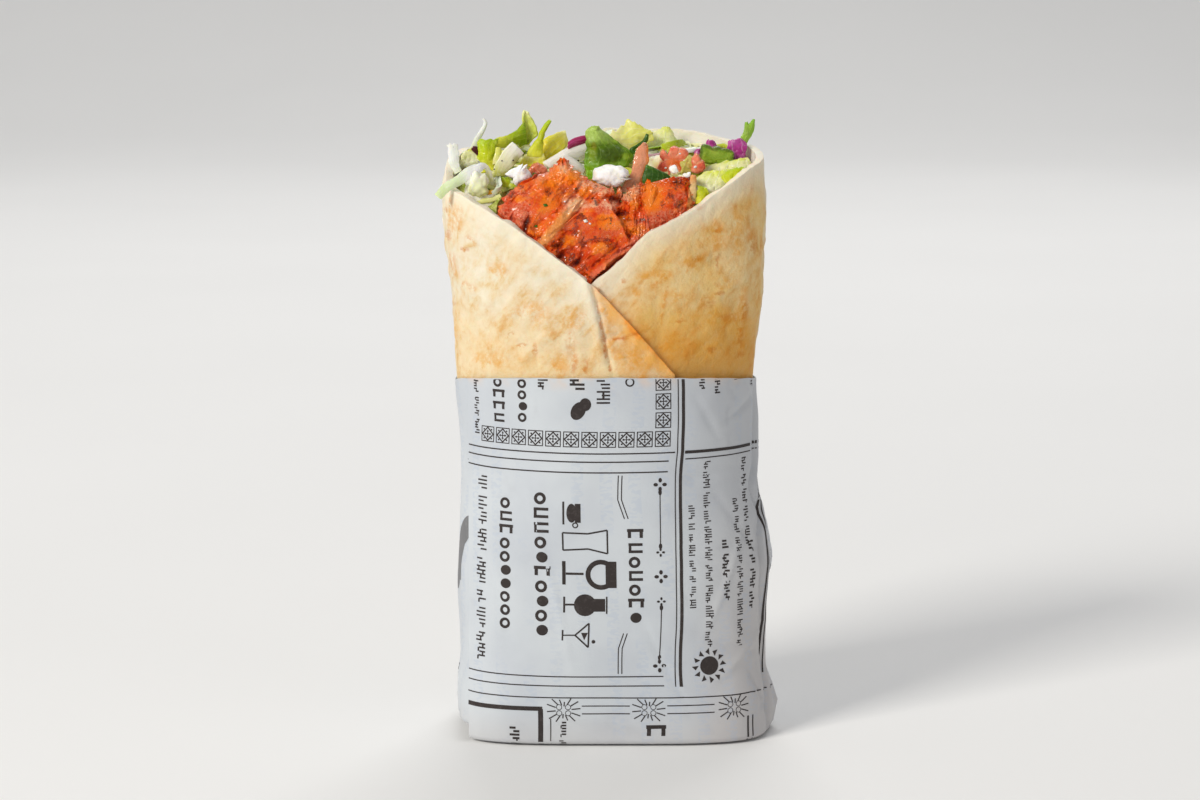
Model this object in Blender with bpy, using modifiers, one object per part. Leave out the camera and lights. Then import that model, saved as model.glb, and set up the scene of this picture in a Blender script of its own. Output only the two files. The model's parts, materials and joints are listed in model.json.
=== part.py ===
"""Durum wrap: a flatbread rolled round meat and salad, open in a V at the front, upright in a paper wrapper.

The roll stands on the wrapper's folded base. +Z is up, the open front faces -Y, and the left flap of the
bread (at -X) laps over the right one. Sizes are in millimetres until a mesh is handed to Blender.
"""

import math

import bmesh
import bpy
from mathutils import Matrix, Vector, noise

MM = 0.001
GAP = 0.35                  # clearance between pieces that touch
COLUMN = 9                  # degrees: bread, paper and salad have their columns at the same angles

# Outer surface of the rolled bread: height, centre x, half width, half depth, squareness of the section
ROLL_SECTIONS = (
    (0.0, 3.4, 40.6, 24.8, 4.0),
    (10.0, 3.2, 40.3, 25.0, 3.6),
    (20.0, 2.9, 39.6, 25.2, 3.0),
    (37.0, 3.0, 40.3, 25.4, 2.5),
    (46.0, 3.7, 40.6, 25.4, 2.4),
    (64.0, 2.6, 38.7, 25.3, 2.2),
    (75.0, 2.1, 38.3, 25.3, 2.1),
    (94.0, 1.3, 39.1, 25.5, 2.05),
    (118.0, 1.8, 41.2, 26.0, 2.0),
    (143.0, 0.9, 42.7, 26.0, 2.0),
    (152.0, 1.5, 41.6, 25.5, 2.0),
    (162.0, 1.5, 41.0, 25.0, 2.0),
)

# Flatbread: a round sheet 33 cm across, so its rim drops away from the back to the crossing at the front, with
# a dip at the back on the left. Rows of girth from the back and drop of the rim.
BREAD_THICK = 2.0
BREAD_FLOOR = 1.2
RIM_BACK_Z = 158.0
LEFT_RIM = (
    (0, 0), (9, 4.8), (22, 8.4), (33, 6.6), (42, 4.2), (54, 6.8), (63, 12.4), (71, 15), (82, 19.8), (92, 26.5),
    (105, 36.2), (114, 45), (122, 53), (130, 61), (141, 73),
)
RIGHT_RIM = (
    (0, 0), (24, 0.4), (36, 2), (46, 3.8), (58, 5.8), (66, 7.8), (74, 11.5), (83, 17), (92, 21), (98, 24),
    (106, 31), (114, 37), (130, 56),
)
OUTER_END = 207             # the left flap's end at the paper, in degrees round from the back
INNER_END = -198            # the right flap's end, under the left one
LAP = BREAD_THICK + GAP     # how far the right flap lies inside the left one
LAP_START, LAP_FULL = 105.0, 145.0
BREAD_SHARES = (0.35, 0.7, 0.9, 1.0)    # rows of the bread between the paper's top and the rim
GIRTH_HEIGHT = 140.0
RIM_OVER_PAPER = 0.6        # least height of the rim over the paper's top

# Paper wrapper: outer layer with its cut edge on the front, folded base, a corner that sticks out at the right
PAPER_THICK = 0.5
PAPER_TOP = 97.5
SHARED_HEIGHTS = (10.0, 22.0, 42.0, 64.0, 80.0, PAPER_TOP)      # rows that paper, bread and salad have in common
PAPER_EDGE_X = -33.4
PAPER_STEP = 0.5            # the outer layer stands this far off the one below
PAPER_EDGE_COLUMN = 117      # the last column before the cut edge
PAPER_HEIGHTS = (1.0,) + SHARED_HEIGHTS
BASE_ROUND = 1.0
BASE_INSETS = (10.0, BASE_ROUND)
CORNER_OUT = 3.2
CORNER_ANGLE = -98.0
CORNER_SPREAD = 16.0
CORNER_Z = 7.0
CORNER_HEIGHT = 11.0

# Filling
HEAP_SHARES = (0.4, 0.75)   # rows of the salad's side between the last shared one and its edge
HEAP_RINGS = (0.94, 0.74, 0.5, 0.24)
FILLING_GAP = 0.6
HEAP_MIDDLE_Z = 151.0
HEAP_BELOW_RIM = 4.0
HEAP_BUMP = 2.4
HEAP_FLOOR = BREAD_FLOOR
SPACE_TOP = 200.0

# Meat pieces, which run down through the food: rows of height, x from, x to, y from, y to
MEAT_LEFT = (
    (HEAP_FLOOR, -27.0, -10.0, -27.0, -8.0),
    (60.0, -27.0, -12.0, -27.0, -8.0),
    (118.0, -28.0, -14.0, -27.0, -7.0),
    (130.0, -27.5, -12.0, -26.0, -6.5),
    (138.0, -26.5, -8.0, -23.0, -6.0),
    (144.0, -25.0, -6.5, -19.0, -5.5),
    (148.5, -23.0, -8.0, -14.5, -6.0),
    (150.5, -20.0, -10.0, -11.5, -7.0),
)
MEAT_CENTRE = (
    (HEAP_FLOOR, -11.0, 10.0, -28.0, -11.0),
    (60.0, -11.0, 10.0, -28.0, -11.0),
    (118.0, -18.0, 10.0, -28.0, -13.0),
    (130.0, -16.2, 10.6, -27.0, -14.0),
    (136.5, -12.5, 8.2, -24.0, -14.5),
    (141.0, -7.0, 5.5, -21.0, -15.0),
    (144.5, -4.5, 4.0, -18.5, -15.5),
)
MEAT_RIGHT = (
    (HEAP_FLOOR, 11.0, 28.0, -27.0, -9.0),
    (60.0, 11.0, 28.0, -27.0, -9.0),
    (118.0, 11.0, 28.0, -27.0, -10.0),
    (130.0, 11.6, 27.0, -26.0, -10.0),
    (138.0, 9.3, 26.0, -22.5, -10.0),
    (144.0, 8.0, 25.0, -18.0, -10.5),
    (148.5, 12.0, 24.0, -14.5, -11.0),
)
MEAT_COLUMNS = 16
MEAT_BUMP = 0.9

# Chunks: name, material, centre, half sizes, turn about Z in degrees, roughness, fineness
CHUNKS = (
    ("cheese_large", "cheese", (2.9, -8.6, 148.4), (4.7, 3.6, 2.9), 10, 0.30, 3),
    ("cheese_left", "cheese", (-21.5, -9.2, 148.7), (3.5, 2.6, 2.4), -10, 0.34, 2),
    ("cheese_right", "cheese", (21.2, -11.0, 149.3), (2.3, 1.4, 1.1), 20, 0.30, 2),
    ("tomato_front", "tomato", (19.0, 0.6, 150.8), (4.2, 2.8, 4.0), 0, 0.18, 2),
    ("tomato_side", "tomato", (26.3, -4.2, 150.2), (1.9, 2.6, 3.0), -10, 0.18, 2),
    ("pepper_piece", "pepper", (31.0, 2.4, 152.4), (4.9, 1.9, 2.9), -6, 0.12, 2),
    ("meat_bit", "meat", (-16.3, -3.4, 149.4), (2.4, 1.8, 2.1), 15, 0.25, 2),
)

# Strips and leaves: name, material, root, tip, width, thickness, bow (x, y, z), curl, outline
LEAVES = (
    ("meat_strip", "meat", (9.0, -6.6, 143.5), (10.6, -4.8, 156.6), 3.8, 1.5, (0.3, 0.0, 0.0), 0.2, "strip"),
    ("leaf_dark", "leaf_green", (1.5, -2.2, 144.5), (-0.5, 2.4, 160.2), 12.5, 0.7, (0.6, 1.0, 0.0), 0.25, "lobe"),
    ("onion_slice", "onion", (-17.5, 2.4, 150.5), (-5.8, 5.6, 155.2), 5.2, 2.0, (0.0, 0.0, 1.0), 0.1, "strip"),
    ("onion_sliver", "onion", (12.4, 6.4, 152.0), (20.0, 6.9, 153.6), 1.6, 0.9, (0.0, 0.0, 0.6), 0.0, "strip"),
    ("lettuce_rib", "lettuce_pale", (-26.0, -3.6, 146.0), (-22.2, -0.6, 156.6), 4.2, 2.0, (0, 0, 0), 0.15, "strip"),
    ("lettuce_frill", "lettuce", (-29.4, 2.0, 145.5), (-29.6, 3.2, 157.0), 9.0, 0.7, (0.0, 1.6, 0.0), 0.3, "lobe"),
    ("lettuce_lobe", "lettuce", (-23.5, 8.4, 148.5), (-19.3, 9.0, 163.6), 6.4, 0.7, (-1.4, 0.0, 0.0), 0.3, "lobe"),
    ("lettuce_blade", "lettuce", (-18.8, 5.2, 150.0), (-14.0, 6.0, 162.2), 4.4, 0.7, (0.5, 0.0, 0.0), 0.3, "blade"),
    ("lettuce_fan", "lettuce", (-14.0, 8.6, 149.0), (-8.2, 10.0, 158.6), 9.5, 0.7, (0.0, 0.8, 0.0), 0.25, "lobe"),
    ("lettuce_pale", "lettuce_pale", (5.0, 9.6, 149.0), (8.2, 11.4, 161.0), 9.0, 0.8, (0.0, 0.8, 0.0), 0.25, "lobe"),
    ("lettuce_back", "lettuce_pale", (20.5, 13.0, 147.5), (20.0, 16.4, 158.4), 13.0, 0.8, (0, 0.6, 0), 0.2, "lobe"),
    ("leaf_tip", "leaf_green", (33.4, 7.6, 149.5), (39.4, 8.6, 161.2), 2.6, 0.6, (0.3, 0.0, 0.0), 0.2, "blade"),
    ("cabbage_curl_left", "purple", (26.8, 7.8, 150.0), (30.6, 8.2, 155.6), 3.2, 1.2, (-0.6, 0, 0.4), 0.3, "strip"),
    ("cabbage_curl_right", "purple", (36.6, 3.4, 148.6), (36.6, 5.4, 157.0), 4.0, 1.3, (0.6, 0, 0), 0.4, "lobe"),
    ("herb_sprig", "leaf_green", (8.8, 0.4, 150.0), (10.6, 1.4, 156.0), 2.8, 0.6, (-0.5, 0.0, 0.0), 0.2, "blade"),
    ("strand_forked", "cabbage", (-35.4, -2.0, 143.0), (-38.8, -1.0, 157.0), 3.0, 0.9, (0.4, 0, 0), 0.15, "strip"),
    ("strand_pointed", "cabbage", (-33.0, 6.6, 147.0), (-30.6, 7.0, 162.6), 2.4, 0.8, (0.9, 0, 0), 0.2, "blade"),
    ("strand_draped", "cabbage", (-27.8, -12.0, 143.6), (-43.2, -11.6, 143.6), 3.0, 0.9, (0, 3.4, 6.4), 0.1, "strip"),
)
LEAF_STEPS = 6
LEAF_SPANS = 2

# Middle of the whole in x and y: every piece is set over by it, so that the origin is under the middle
MIDDLE = (1.67, -0.11)

# Finishes: colour, roughness
FINISHES = {
    "paper": ((0.80, 0.81, 0.82), 0.55),
    "flatbread": ((0.83, 0.70, 0.48), 0.70),
    "meat": ((0.66, 0.15, 0.05), 0.35),
    "salad": ((0.63, 0.70, 0.25), 0.45),
    "cheese": ((0.90, 0.88, 0.82), 0.60),
    "tomato": ((0.72, 0.14, 0.08), 0.25),
    "pepper": ((0.28, 0.42, 0.06), 0.35),
    "leaf_green": ((0.13, 0.32, 0.04), 0.40),
    "lettuce": ((0.45, 0.60, 0.08), 0.40),
    "lettuce_pale": ((0.70, 0.74, 0.38), 0.40),
    "onion": ((0.60, 0.30, 0.50), 0.30),
    "purple": ((0.42, 0.08, 0.38), 0.30),
    "cabbage": ((0.82, 0.88, 0.74), 0.35),
}


def clear_scene():
    for thing in list(bpy.data.objects):
        bpy.data.objects.remove(thing)


def new_collection(name):
    collection = bpy.data.collections.new(name)
    bpy.context.scene.collection.children.link(collection)
    return collection


def finish(name):
    """A Principled material of the named finish, made once and shared."""
    material = bpy.data.materials.get(name)
    if material:
        return material
    colour, roughness = FINISHES[name]
    material = bpy.data.materials.new(name)
    material.use_nodes = True
    shader = material.node_tree.nodes["Principled BSDF"]
    shader.inputs["Base Color"].default_value = (*colour, 1.0)
    shader.inputs["Roughness"].default_value = roughness
    shader.inputs["Metallic"].default_value = 0.0
    return material


def ease(start, end, value):
    """0 below start, 1 above end, and a smooth step between."""
    t = min(1.0, max(0.0, (value - start) / (end - start)))
    return t * t * (3 - 2 * t)


def curve_through(points, x):
    """Smooth curve through points (x, value, ...), read at x: a list of the values there."""
    last = len(points) - 1
    x = min(max(x, points[0][0]), points[last][0])
    i = next(k for k in range(last) if x <= points[k + 1][0])
    before, start, end, after = (points[min(max(k, 0), last)] for k in (i - 1, i, i + 1, i + 2))
    t = (x - start[0]) / (end[0] - start[0])
    step = end[0] - start[0]
    values = []
    for k in range(1, len(start)):
        slope_in = (end[k] - before[k]) / (end[0] - before[0]) * step
        slope_out = (after[k] - start[k]) / (after[0] - start[0]) * step
        values.append(
            (2 * t**3 - 3 * t**2 + 1) * start[k]
            + (t**3 - 2 * t**2 + t) * slope_in
            + (3 * t**2 - 2 * t**3) * end[k]
            + (t**3 - t**2) * slope_out
        )
    return values


def power(value, exponent):
    return math.copysign(abs(value) ** exponent, value)


def on_roll(angle, height, out=0.0):
    """Point of the roll's outer surface, moved outwards by out. The angle runs from the back over the left."""
    centre, half_width, half_depth, squareness = curve_through(ROLL_SECTIONS, height)
    sine, cosine = math.sin(math.radians(angle)), math.cos(math.radians(angle))
    reach = (abs(sine) ** squareness + abs(cosine) ** squareness) ** (-1 / squareness)
    return Vector((centre - (half_width + out) * reach * sine, (half_depth + out) * reach * cosine, height))


def girth_table():
    """Distance round the roll from the back, for each whole degree up to the furthest end of the sheet."""
    table = [0.0]
    for degree in range(int(max(OUTER_END, -INNER_END)) + 2):
        step = on_roll(degree + 1, GIRTH_HEIGHT) - on_roll(degree, GIRTH_HEIGHT)
        table.append(table[-1] + step.length)
    return table


GIRTH = girth_table()


def rim_height(angle):
    whole = int(abs(angle))
    girth = GIRTH[whole] + (abs(angle) - whole) * (GIRTH[whole + 1] - GIRTH[whole])
    drop, = curve_through(LEFT_RIM if angle > 0 else RIGHT_RIM, girth)
    return max(RIM_BACK_Z - drop, PAPER_TOP + RIM_OVER_PAPER)


def flap_inset(angle):
    """How far the sheet lies inside the roll's outer surface: only the right flap does, where it runs under."""
    return LAP * ease(LAP_START, LAP_FULL, -angle)


def filling_inset(angle):
    """Depth from the roll's outer surface to the filling, which both flaps squeeze at the front."""
    under_left = ease(INNER_END + 360 - 14, INNER_END + 360, angle)
    under_right = ease(LAP_START, LAP_FULL, -angle)
    return BREAD_THICK + FILLING_GAP + LAP * max(under_left, under_right)


def add_object(name, mesh_maker, material, collection):
    """Object of the given name from a bmesh in millimetres."""
    mesh_maker.normal_update()
    bmesh.ops.scale(mesh_maker, vec=(MM, MM, MM), verts=mesh_maker.verts)
    mesh = bpy.data.meshes.new(name)
    mesh_maker.to_mesh(mesh)
    mesh_maker.free()
    mesh.materials.append(finish(material))
    mesh.shade_smooth()
    mesh.set_sharp_from_angle(angle=math.radians(50))
    piece = bpy.data.objects.new(name, mesh)
    collection.objects.link(piece)
    return piece


def hide_as_cutter(piece):
    piece.hide_render = True
    piece.display_type = "WIRE"
    return piece


def solidify(piece, thickness, offset=-1.0):
    modifier = piece.modifiers.new("thickness", "SOLIDIFY")
    modifier.thickness = thickness * MM
    modifier.offset = offset
    return modifier


def loft(rings):
    """Skin over closed rings of points, from the first to the last, with a fan at each end."""
    made = bmesh.new()
    rows = [[made.verts.new(point) for point in ring] for ring in rings]
    count = len(rows[0])
    for lower, upper in zip(rows, rows[1:]):
        for k in range(count):
            following = (k + 1) % count
            made.faces.new((lower[k], lower[following], upper[following], upper[k]))
    for row in (rows[0], rows[-1]):
        centre = made.verts.new(sum((v.co for v in row), Vector()) / count)
        for k in range(count):
            made.faces.new((row[k], row[(k + 1) % count], centre))
    bmesh.ops.recalc_face_normals(made, faces=made.faces)
    return made


def make_flatbread(collection):
    """The sheet as one spiral: from the hidden end of the right flap, round the back, to the left flap's end."""
    made = bmesh.new()
    straight = (BREAD_FLOOR,) + SHARED_HEIGHTS
    last = len(straight) + len(BREAD_SHARES) - 1
    columns = (OUTER_END - INNER_END) // COLUMN
    bmesh.ops.create_grid(made, x_segments=columns, y_segments=last, size=0.5)
    for vert in made.verts:
        angle = INNER_END + (vert.co.x + 0.5) * (OUTER_END - INNER_END)
        row = round((vert.co.y + 0.5) * last)
        if row < len(straight):
            height = straight[row]
        else:
            share = BREAD_SHARES[row - len(straight)]
            height = straight[-1] + share * (rim_height(angle) - straight[-1])
        vert.co = on_roll(angle, height, -flap_inset(angle))
    bmesh.ops.recalc_face_normals(made, faces=made.faces)
    outwards = Vector((0.0, 1.0, 0.0))
    back = min(made.faces, key=lambda face: (face.calc_center_median() - Vector((0, 26, 100))).length)
    if back.normal.dot(outwards) < 0:
        bmesh.ops.reverse_faces(made, faces=made.faces)
    bread = add_object("flatbread", made, "flatbread", collection)
    solidify(bread, BREAD_THICK)
    return bread


def paper_edge_angle(height):
    """Where the outer paper layer's cut edge stands at this height."""
    centre, half_width, _, squareness = curve_through(ROLL_SECTIONS, height)
    across = (centre - PAPER_EDGE_X) / half_width
    forward = (1 - across**squareness) ** (1 / squareness)
    return 180 - math.degrees(math.atan2(across, forward))


def paper_ring(height, out, layered, shrink=0.0):
    """Closed ring round the paper, from the cut edge over the front, the right, the back and the left."""
    start = paper_edge_angle(height)
    between = range(PAPER_EDGE_COLUMN + COLUMN, PAPER_EDGE_COLUMN + 361, COLUMN)
    points = []
    for angle in (start, *between, start + 360):
        wrapped = angle - 360 if angle > 180 else angle
        step = PAPER_STEP * (1 - (angle - start) / 360) if layered else 0.0
        side = max(0.0, 1 - abs(wrapped - CORNER_ANGLE) / CORNER_SPREAD)
        rise = max(0.0, 1 - abs(height - CORNER_Z) / CORNER_HEIGHT)
        corner = CORNER_OUT * side * rise
        points.append(on_roll(angle, height, out + step + corner - shrink))
    return points


def make_paper(collection):
    """Thin shell with a floor: outer rings from the middle of the base up, then the inner rings down."""
    inner_face = GAP
    outer_face = GAP + PAPER_THICK
    floor = BREAD_FLOOR - GAP
    rings = []
    for inset in BASE_INSETS:
        rings.append([Vector((p.x, p.y, 0.0)) for p in paper_ring(0.0, outer_face, True, inset)])
    for height in PAPER_HEIGHTS:
        rings.append(paper_ring(height, outer_face, True))
    for height in reversed(PAPER_HEIGHTS[1:]):
        rings.append(paper_ring(height, inner_face, False))
    rings.append([Vector((p.x, p.y, floor)) for p in paper_ring(floor, inner_face, False)])
    rings.append([Vector((p.x, p.y, floor)) for p in paper_ring(floor, inner_face, False, BASE_INSETS[0])])
    return add_object("paper", loft(rings), "paper", collection)


def filling_ring(height_at, share=1.0):
    """Ring inside the bread at the height that height_at gives for each angle, drawn in towards its middle."""
    points = []
    for angle in range(180, -180, -COLUMN):
        height = height_at(angle)
        centre = Vector((curve_through(ROLL_SECTIONS, height)[0], 0, height))
        points.append(centre.lerp(on_roll(angle, height, -filling_inset(angle)), share))
    return points


def heap_edge(angle):
    return rim_height(angle) - HEAP_BELOW_RIM


def make_filling_space(collection):
    """The room inside the bread, which trims the meat to the flaps."""
    heights = (HEAP_FLOOR,) + SHARED_HEIGHTS + tuple(row[0] for row in ROLL_SECTIONS[8:]) + (SPACE_TOP,)
    rings = [filling_ring(lambda angle: height) for height in heights]
    space = add_object("filling_space", loft(rings), "salad", collection)
    return hide_as_cutter(space)


def make_salad(collection):
    """The heap: straight sides inside the bread, and a top of rings that follow its uneven height."""
    straight = (HEAP_FLOOR,) + SHARED_HEIGHTS
    rings = [filling_ring(lambda angle: height) for height in straight]
    for share in HEAP_SHARES:
        rings.append(filling_ring(lambda angle: straight[-1] + share * (heap_edge(angle) - straight[-1])))
    rings.append(filling_ring(heap_edge))
    for share in HEAP_RINGS:
        ring = filling_ring(heap_edge, share)
        for point in ring:
            point.z += (HEAP_MIDDLE_Z - point.z) * (1 - share * share) + HEAP_BUMP * noise.noise(point * 0.16)
        rings.append(ring)
    return add_object("salad", loft(rings), "salad", collection)


def make_meat(name, rows, collection):
    """A piece of grilled meat as a lumpy upright slab through the filling."""
    rings = []
    for height, x_from, x_to, y_from, y_to in rows:
        ring = []
        for k in range(MEAT_COLUMNS):
            turn = math.tau * k / MEAT_COLUMNS
            x = (x_from + x_to) / 2 + (x_to - x_from) / 2 * power(math.cos(turn), 0.6)
            y = (y_from + y_to) / 2 + (y_to - y_from) / 2 * power(math.sin(turn), 0.6)
            ring.append(Vector((x, y, height)))
        rings.append(ring)
    made = loft(rings)
    middle = Vector(((rows[-1][1] + rows[-1][2]) / 2, (rows[-1][3] + rows[-1][4]) / 2, 0))
    for vert in made.verts:
        if vert.co.z > 120:
            inwards = (middle - Vector((vert.co.x, vert.co.y, 0))).normalized()
            vert.co += inwards * MEAT_BUMP * (0.5 + 0.5 * noise.noise(vert.co * 0.23))
    return add_object(name, made, "meat", collection)


def make_chunk(name, material, centre, halves, turn, roughness, fineness, collection):
    made = bmesh.new()
    bmesh.ops.create_icosphere(made, subdivisions=fineness, radius=1.0)
    offset = Vector(centre)
    for vert in made.verts:
        lump = 1 + roughness * noise.noise(vert.co * 1.7 + offset)
        box = max(abs(c) for c in vert.co) ** 0.35
        vert.co = Vector(c * h for c, h in zip(vert.co * lump / box, halves))
    bmesh.ops.rotate(made, verts=made.verts, matrix=Matrix.Rotation(math.radians(turn), 3, "Z"))
    bmesh.ops.translate(made, verts=made.verts, vec=offset)
    return add_object(name, made, material, collection)


OUTLINES = {
    "strip": lambda u: 1.0,
    "blade": lambda u: 0.25 + 0.75 * math.sin(math.pi * min(1.0, 0.25 + 0.75 * u)) ** 0.7 if u < 0.99 else 0.18,
    "lobe": lambda u: 0.45 + 0.55 * math.sin(math.pi * min(1.0, 0.12 + 0.8 * u)),
}


def make_leaf(name, material, root, tip, width, thickness, bow, curl, outline, collection):
    """A strip or leaf: a grid laid along a bowed line from root to tip, broad side to the front."""
    made = bmesh.new()
    bmesh.ops.create_grid(made, x_segments=LEAF_SPANS, y_segments=LEAF_STEPS, size=0.5)
    root, tip, bow = Vector(root), Vector(tip), Vector(bow)
    along = (tip - root).normalized()
    side = along.cross(Vector((0, 1, 0))).normalized()
    facing = side.cross(along)
    for vert in made.verts:
        across, u = vert.co.x * 2, vert.co.y + 0.5
        half = width / 2 * OUTLINES[outline](u)
        middle = root.lerp(tip, u) + bow * math.sin(math.pi * u)
        vert.co = middle + side * (half * across) + facing * (curl * half * across * across)
    bmesh.ops.recalc_face_normals(made, faces=made.faces)
    leaf = add_object(name, made, material, collection)
    solidify(leaf, thickness, 0.0)
    return leaf


def add_cutter(piece, collection):
    """A copy of the piece that is larger by the gap all round, to cut room for it."""
    cutter = bpy.data.objects.new(piece.name + "_room", piece.data)
    collection.objects.link(cutter)
    for own in piece.modifiers:
        if own.type == "SOLIDIFY":
            solidify(cutter, own.thickness / MM, own.offset)
    grow = cutter.modifiers.new("gap", "DISPLACE")
    grow.strength = GAP * MM
    grow.mid_level = 0.0
    return hide_as_cutter(cutter)


def trim(piece, operation, cutter=None, collection=None):
    modifier = piece.modifiers.new(operation.lower(), "BOOLEAN")
    modifier.operation = operation
    if collection:
        modifier.operand_type = "COLLECTION"
        modifier.collection = collection
    else:
        modifier.object = cutter


def build():
    clear_scene()
    parts = new_collection("durum_wrap")
    tools = new_collection("guides")
    rooms = new_collection("rooms_in_salad")
    pockets = new_collection("pockets_in_meat")

    make_paper(parts)
    make_flatbread(parts)
    space = make_filling_space(tools)
    salad = make_salad(parts)

    front = make_meat("meat_centre", MEAT_CENTRE, parts)
    front_room = add_cutter(front, rooms)
    trim(front, "INTERSECT", space)
    sides = []
    for name, rows in (("meat_left", MEAT_LEFT), ("meat_right", MEAT_RIGHT)):
        meat = make_meat(name, rows, parts)
        add_cutter(meat, rooms)
        trim(meat, "INTERSECT", space)
        trim(meat, "DIFFERENCE", front_room)
        sides.append(meat)
    for chunk in CHUNKS:
        room = add_cutter(make_chunk(*chunk, parts), rooms)
        pockets.objects.link(room)
    for meat in sides:
        trim(meat, "DIFFERENCE", collection=pockets)
    for leaf in LEAVES:
        add_cutter(make_leaf(*leaf, parts), rooms)
    trim(salad, "DIFFERENCE", collection=rooms)

    origin = bpy.data.objects.new("durum_wrap_origin", None)
    bpy.context.scene.collection.objects.link(origin)
    origin.location = (-MIDDLE[0] * MM, -MIDDLE[1] * MM, 0.0)
    for group in (parts, tools, rooms):
        for piece in group.objects:
            piece.parent = origin


build()
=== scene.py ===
"""Durum wrap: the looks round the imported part.

A rolled flatbread, open in a V at the front, stands in a printed paper wrapper. Grilled meat fills the V, with
salad, cheese, tomato, onion and cabbage over and behind it. Every table is in millimetres from the middle of the
roll as it was measured: +Z is up and the open front faces -Y. settle() brings a finished mesh to metres and to the
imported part's origin.
"""

import functools
import json
import math
import random

import bmesh
import bpy
import numpy as np
from mathutils import Matrix, Vector, noise
from mathutils.bvhtree import BVHTree

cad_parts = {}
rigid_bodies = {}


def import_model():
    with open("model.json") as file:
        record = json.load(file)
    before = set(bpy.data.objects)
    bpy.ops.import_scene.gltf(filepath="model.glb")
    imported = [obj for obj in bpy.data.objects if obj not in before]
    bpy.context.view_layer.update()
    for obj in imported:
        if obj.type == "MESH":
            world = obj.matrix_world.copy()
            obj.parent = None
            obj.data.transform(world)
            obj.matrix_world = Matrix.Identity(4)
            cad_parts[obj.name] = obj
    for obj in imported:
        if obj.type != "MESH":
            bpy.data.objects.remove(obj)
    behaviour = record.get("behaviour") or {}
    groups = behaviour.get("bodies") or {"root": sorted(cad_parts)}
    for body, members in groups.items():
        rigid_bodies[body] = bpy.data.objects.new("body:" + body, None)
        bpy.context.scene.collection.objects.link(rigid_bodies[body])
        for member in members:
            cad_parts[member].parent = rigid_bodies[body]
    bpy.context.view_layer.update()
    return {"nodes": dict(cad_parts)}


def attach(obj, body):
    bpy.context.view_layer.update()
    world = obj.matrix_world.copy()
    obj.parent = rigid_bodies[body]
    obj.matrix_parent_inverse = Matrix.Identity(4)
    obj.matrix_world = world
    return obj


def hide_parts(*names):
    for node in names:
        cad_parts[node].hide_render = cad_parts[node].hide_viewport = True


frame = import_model()

BODY = "root"
MM = 0.001
MIDDLE = Vector((1.67, -0.11, 0))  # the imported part's origin, in the tables' millimetres
GAP = 0.35  # clearance between bread and paper

# -------- the roll's measures

# Outer surface of the rolled bread: height, centre x, half width, half depth, squareness of the section
ROLL_SECTIONS = (
    (0, 3.4, 40.6, 24.8, 4), (10, 3.2, 40.3, 25, 3.6), (20, 2.9, 39.6, 25.2, 3), (37, 3, 40.3, 25.4, 2.5),
    (46, 3.7, 40.6, 25.4, 2.4), (64, 2.6, 38.7, 25.3, 2.2), (75, 2.1, 38.3, 25.3, 2.1), (94, 1.3, 39.1, 25.5, 2.05),
    (118, 1.8, 41.2, 26, 2), (143, 0.9, 42.7, 26, 2), (152, 1.5, 41.6, 25.5, 2), (162, 1.5, 41, 25, 2),
)
BREAD_THICK = 2
BREAD_FLOOR = 5
FILLING_FLOOR = 7  # over the folded base, so that its lifted corner shows only paper
RIM_BACK_Z = 158
LEFT_RIM = (  # girth from the back, and drop of the rim there
    (0, 0), (9, 4.8), (22, 8.4), (33, 6.6), (42, 4.2), (54, 6.8), (63, 12.4), (71, 15), (82, 19.8), (92, 26.5),
    (105, 36.2), (114, 45), (122, 53), (130, 61), (141, 73),
)
RIGHT_RIM = (
    (0, 0), (24, 0.4), (36, 2), (46, 3.8), (58, 5.8), (66, 7.8), (74, 11.5), (83, 17), (92, 21), (98, 24), (106, 31),
    (114, 37), (130, 56),
)
OUTER_END = 207  # the left flap's end at the paper, in degrees round from the back
INNER_END = -198  # the right flap's end, under the left one
LAP = BREAD_THICK + GAP
LAP_START, LAP_FULL = 105, 145
GIRTH_HEIGHT = 140
RIM_OVER_PAPER = 0.6
PAPER_TOP = 97.5
PAPER_EDGE_X = -33.4  # the outer layer's cut edge, at the front on the left
PAPER_STEP = 0.5  # how far the outer layer stands off the one below at that edge
PAPER_OUT = 0.85  # outer face of the paper, off the roll
PAPER_THICK = 0.22
PAPER_CLEAR = 0.5  # the least that the inner layer stands off the roll where it runs under the cut edge
PAPER_TUCK = 16  # how far the sheet runs on under its cut edge
INNER_TIP = 3.2  # how far the inner layer's lower corner stands off the table at the left
CORNER_OUT = 3.2  # the folded corner at the lower right
CORNER_ANGLE = -98
CORNER_SPREAD = 16
CORNER_Z = 7
CORNER_HEIGHT = 11


def ease(start, end, value):
    """0 at start, 1 at end, and a smooth step between."""
    t = min(1, max(0, (value - start) / (end - start)))
    return t * t * (3 - 2 * t)


def bell(distance, width):
    """1 at no distance, and a smooth fall over width."""
    return math.exp(-((distance / width) ** 2))


def curve_through(points, x):
    """Smooth curve through points (x, value, ...), read at x: a list of the values there."""
    last = len(points) - 1
    x = min(max(x, points[0][0]), points[last][0])
    i = next(k for k in range(last) if x <= points[k + 1][0])
    before, start, end, after = (points[min(max(k, 0), last)] for k in (i - 1, i, i + 1, i + 2))
    t = (x - start[0]) / (end[0] - start[0])
    step = end[0] - start[0]
    values = []
    for k in range(1, len(start)):
        slope_in = (end[k] - before[k]) / (end[0] - before[0]) * step
        slope_out = (after[k] - start[k]) / (after[0] - start[0]) * step
        values.append(
            (2 * t**3 - 3 * t**2 + 1) * start[k]
            + (t**3 - 2 * t**2 + t) * slope_in
            + (3 * t**2 - 2 * t**3) * end[k]
            + (t**3 - t**2) * slope_out
        )
    return values


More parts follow.
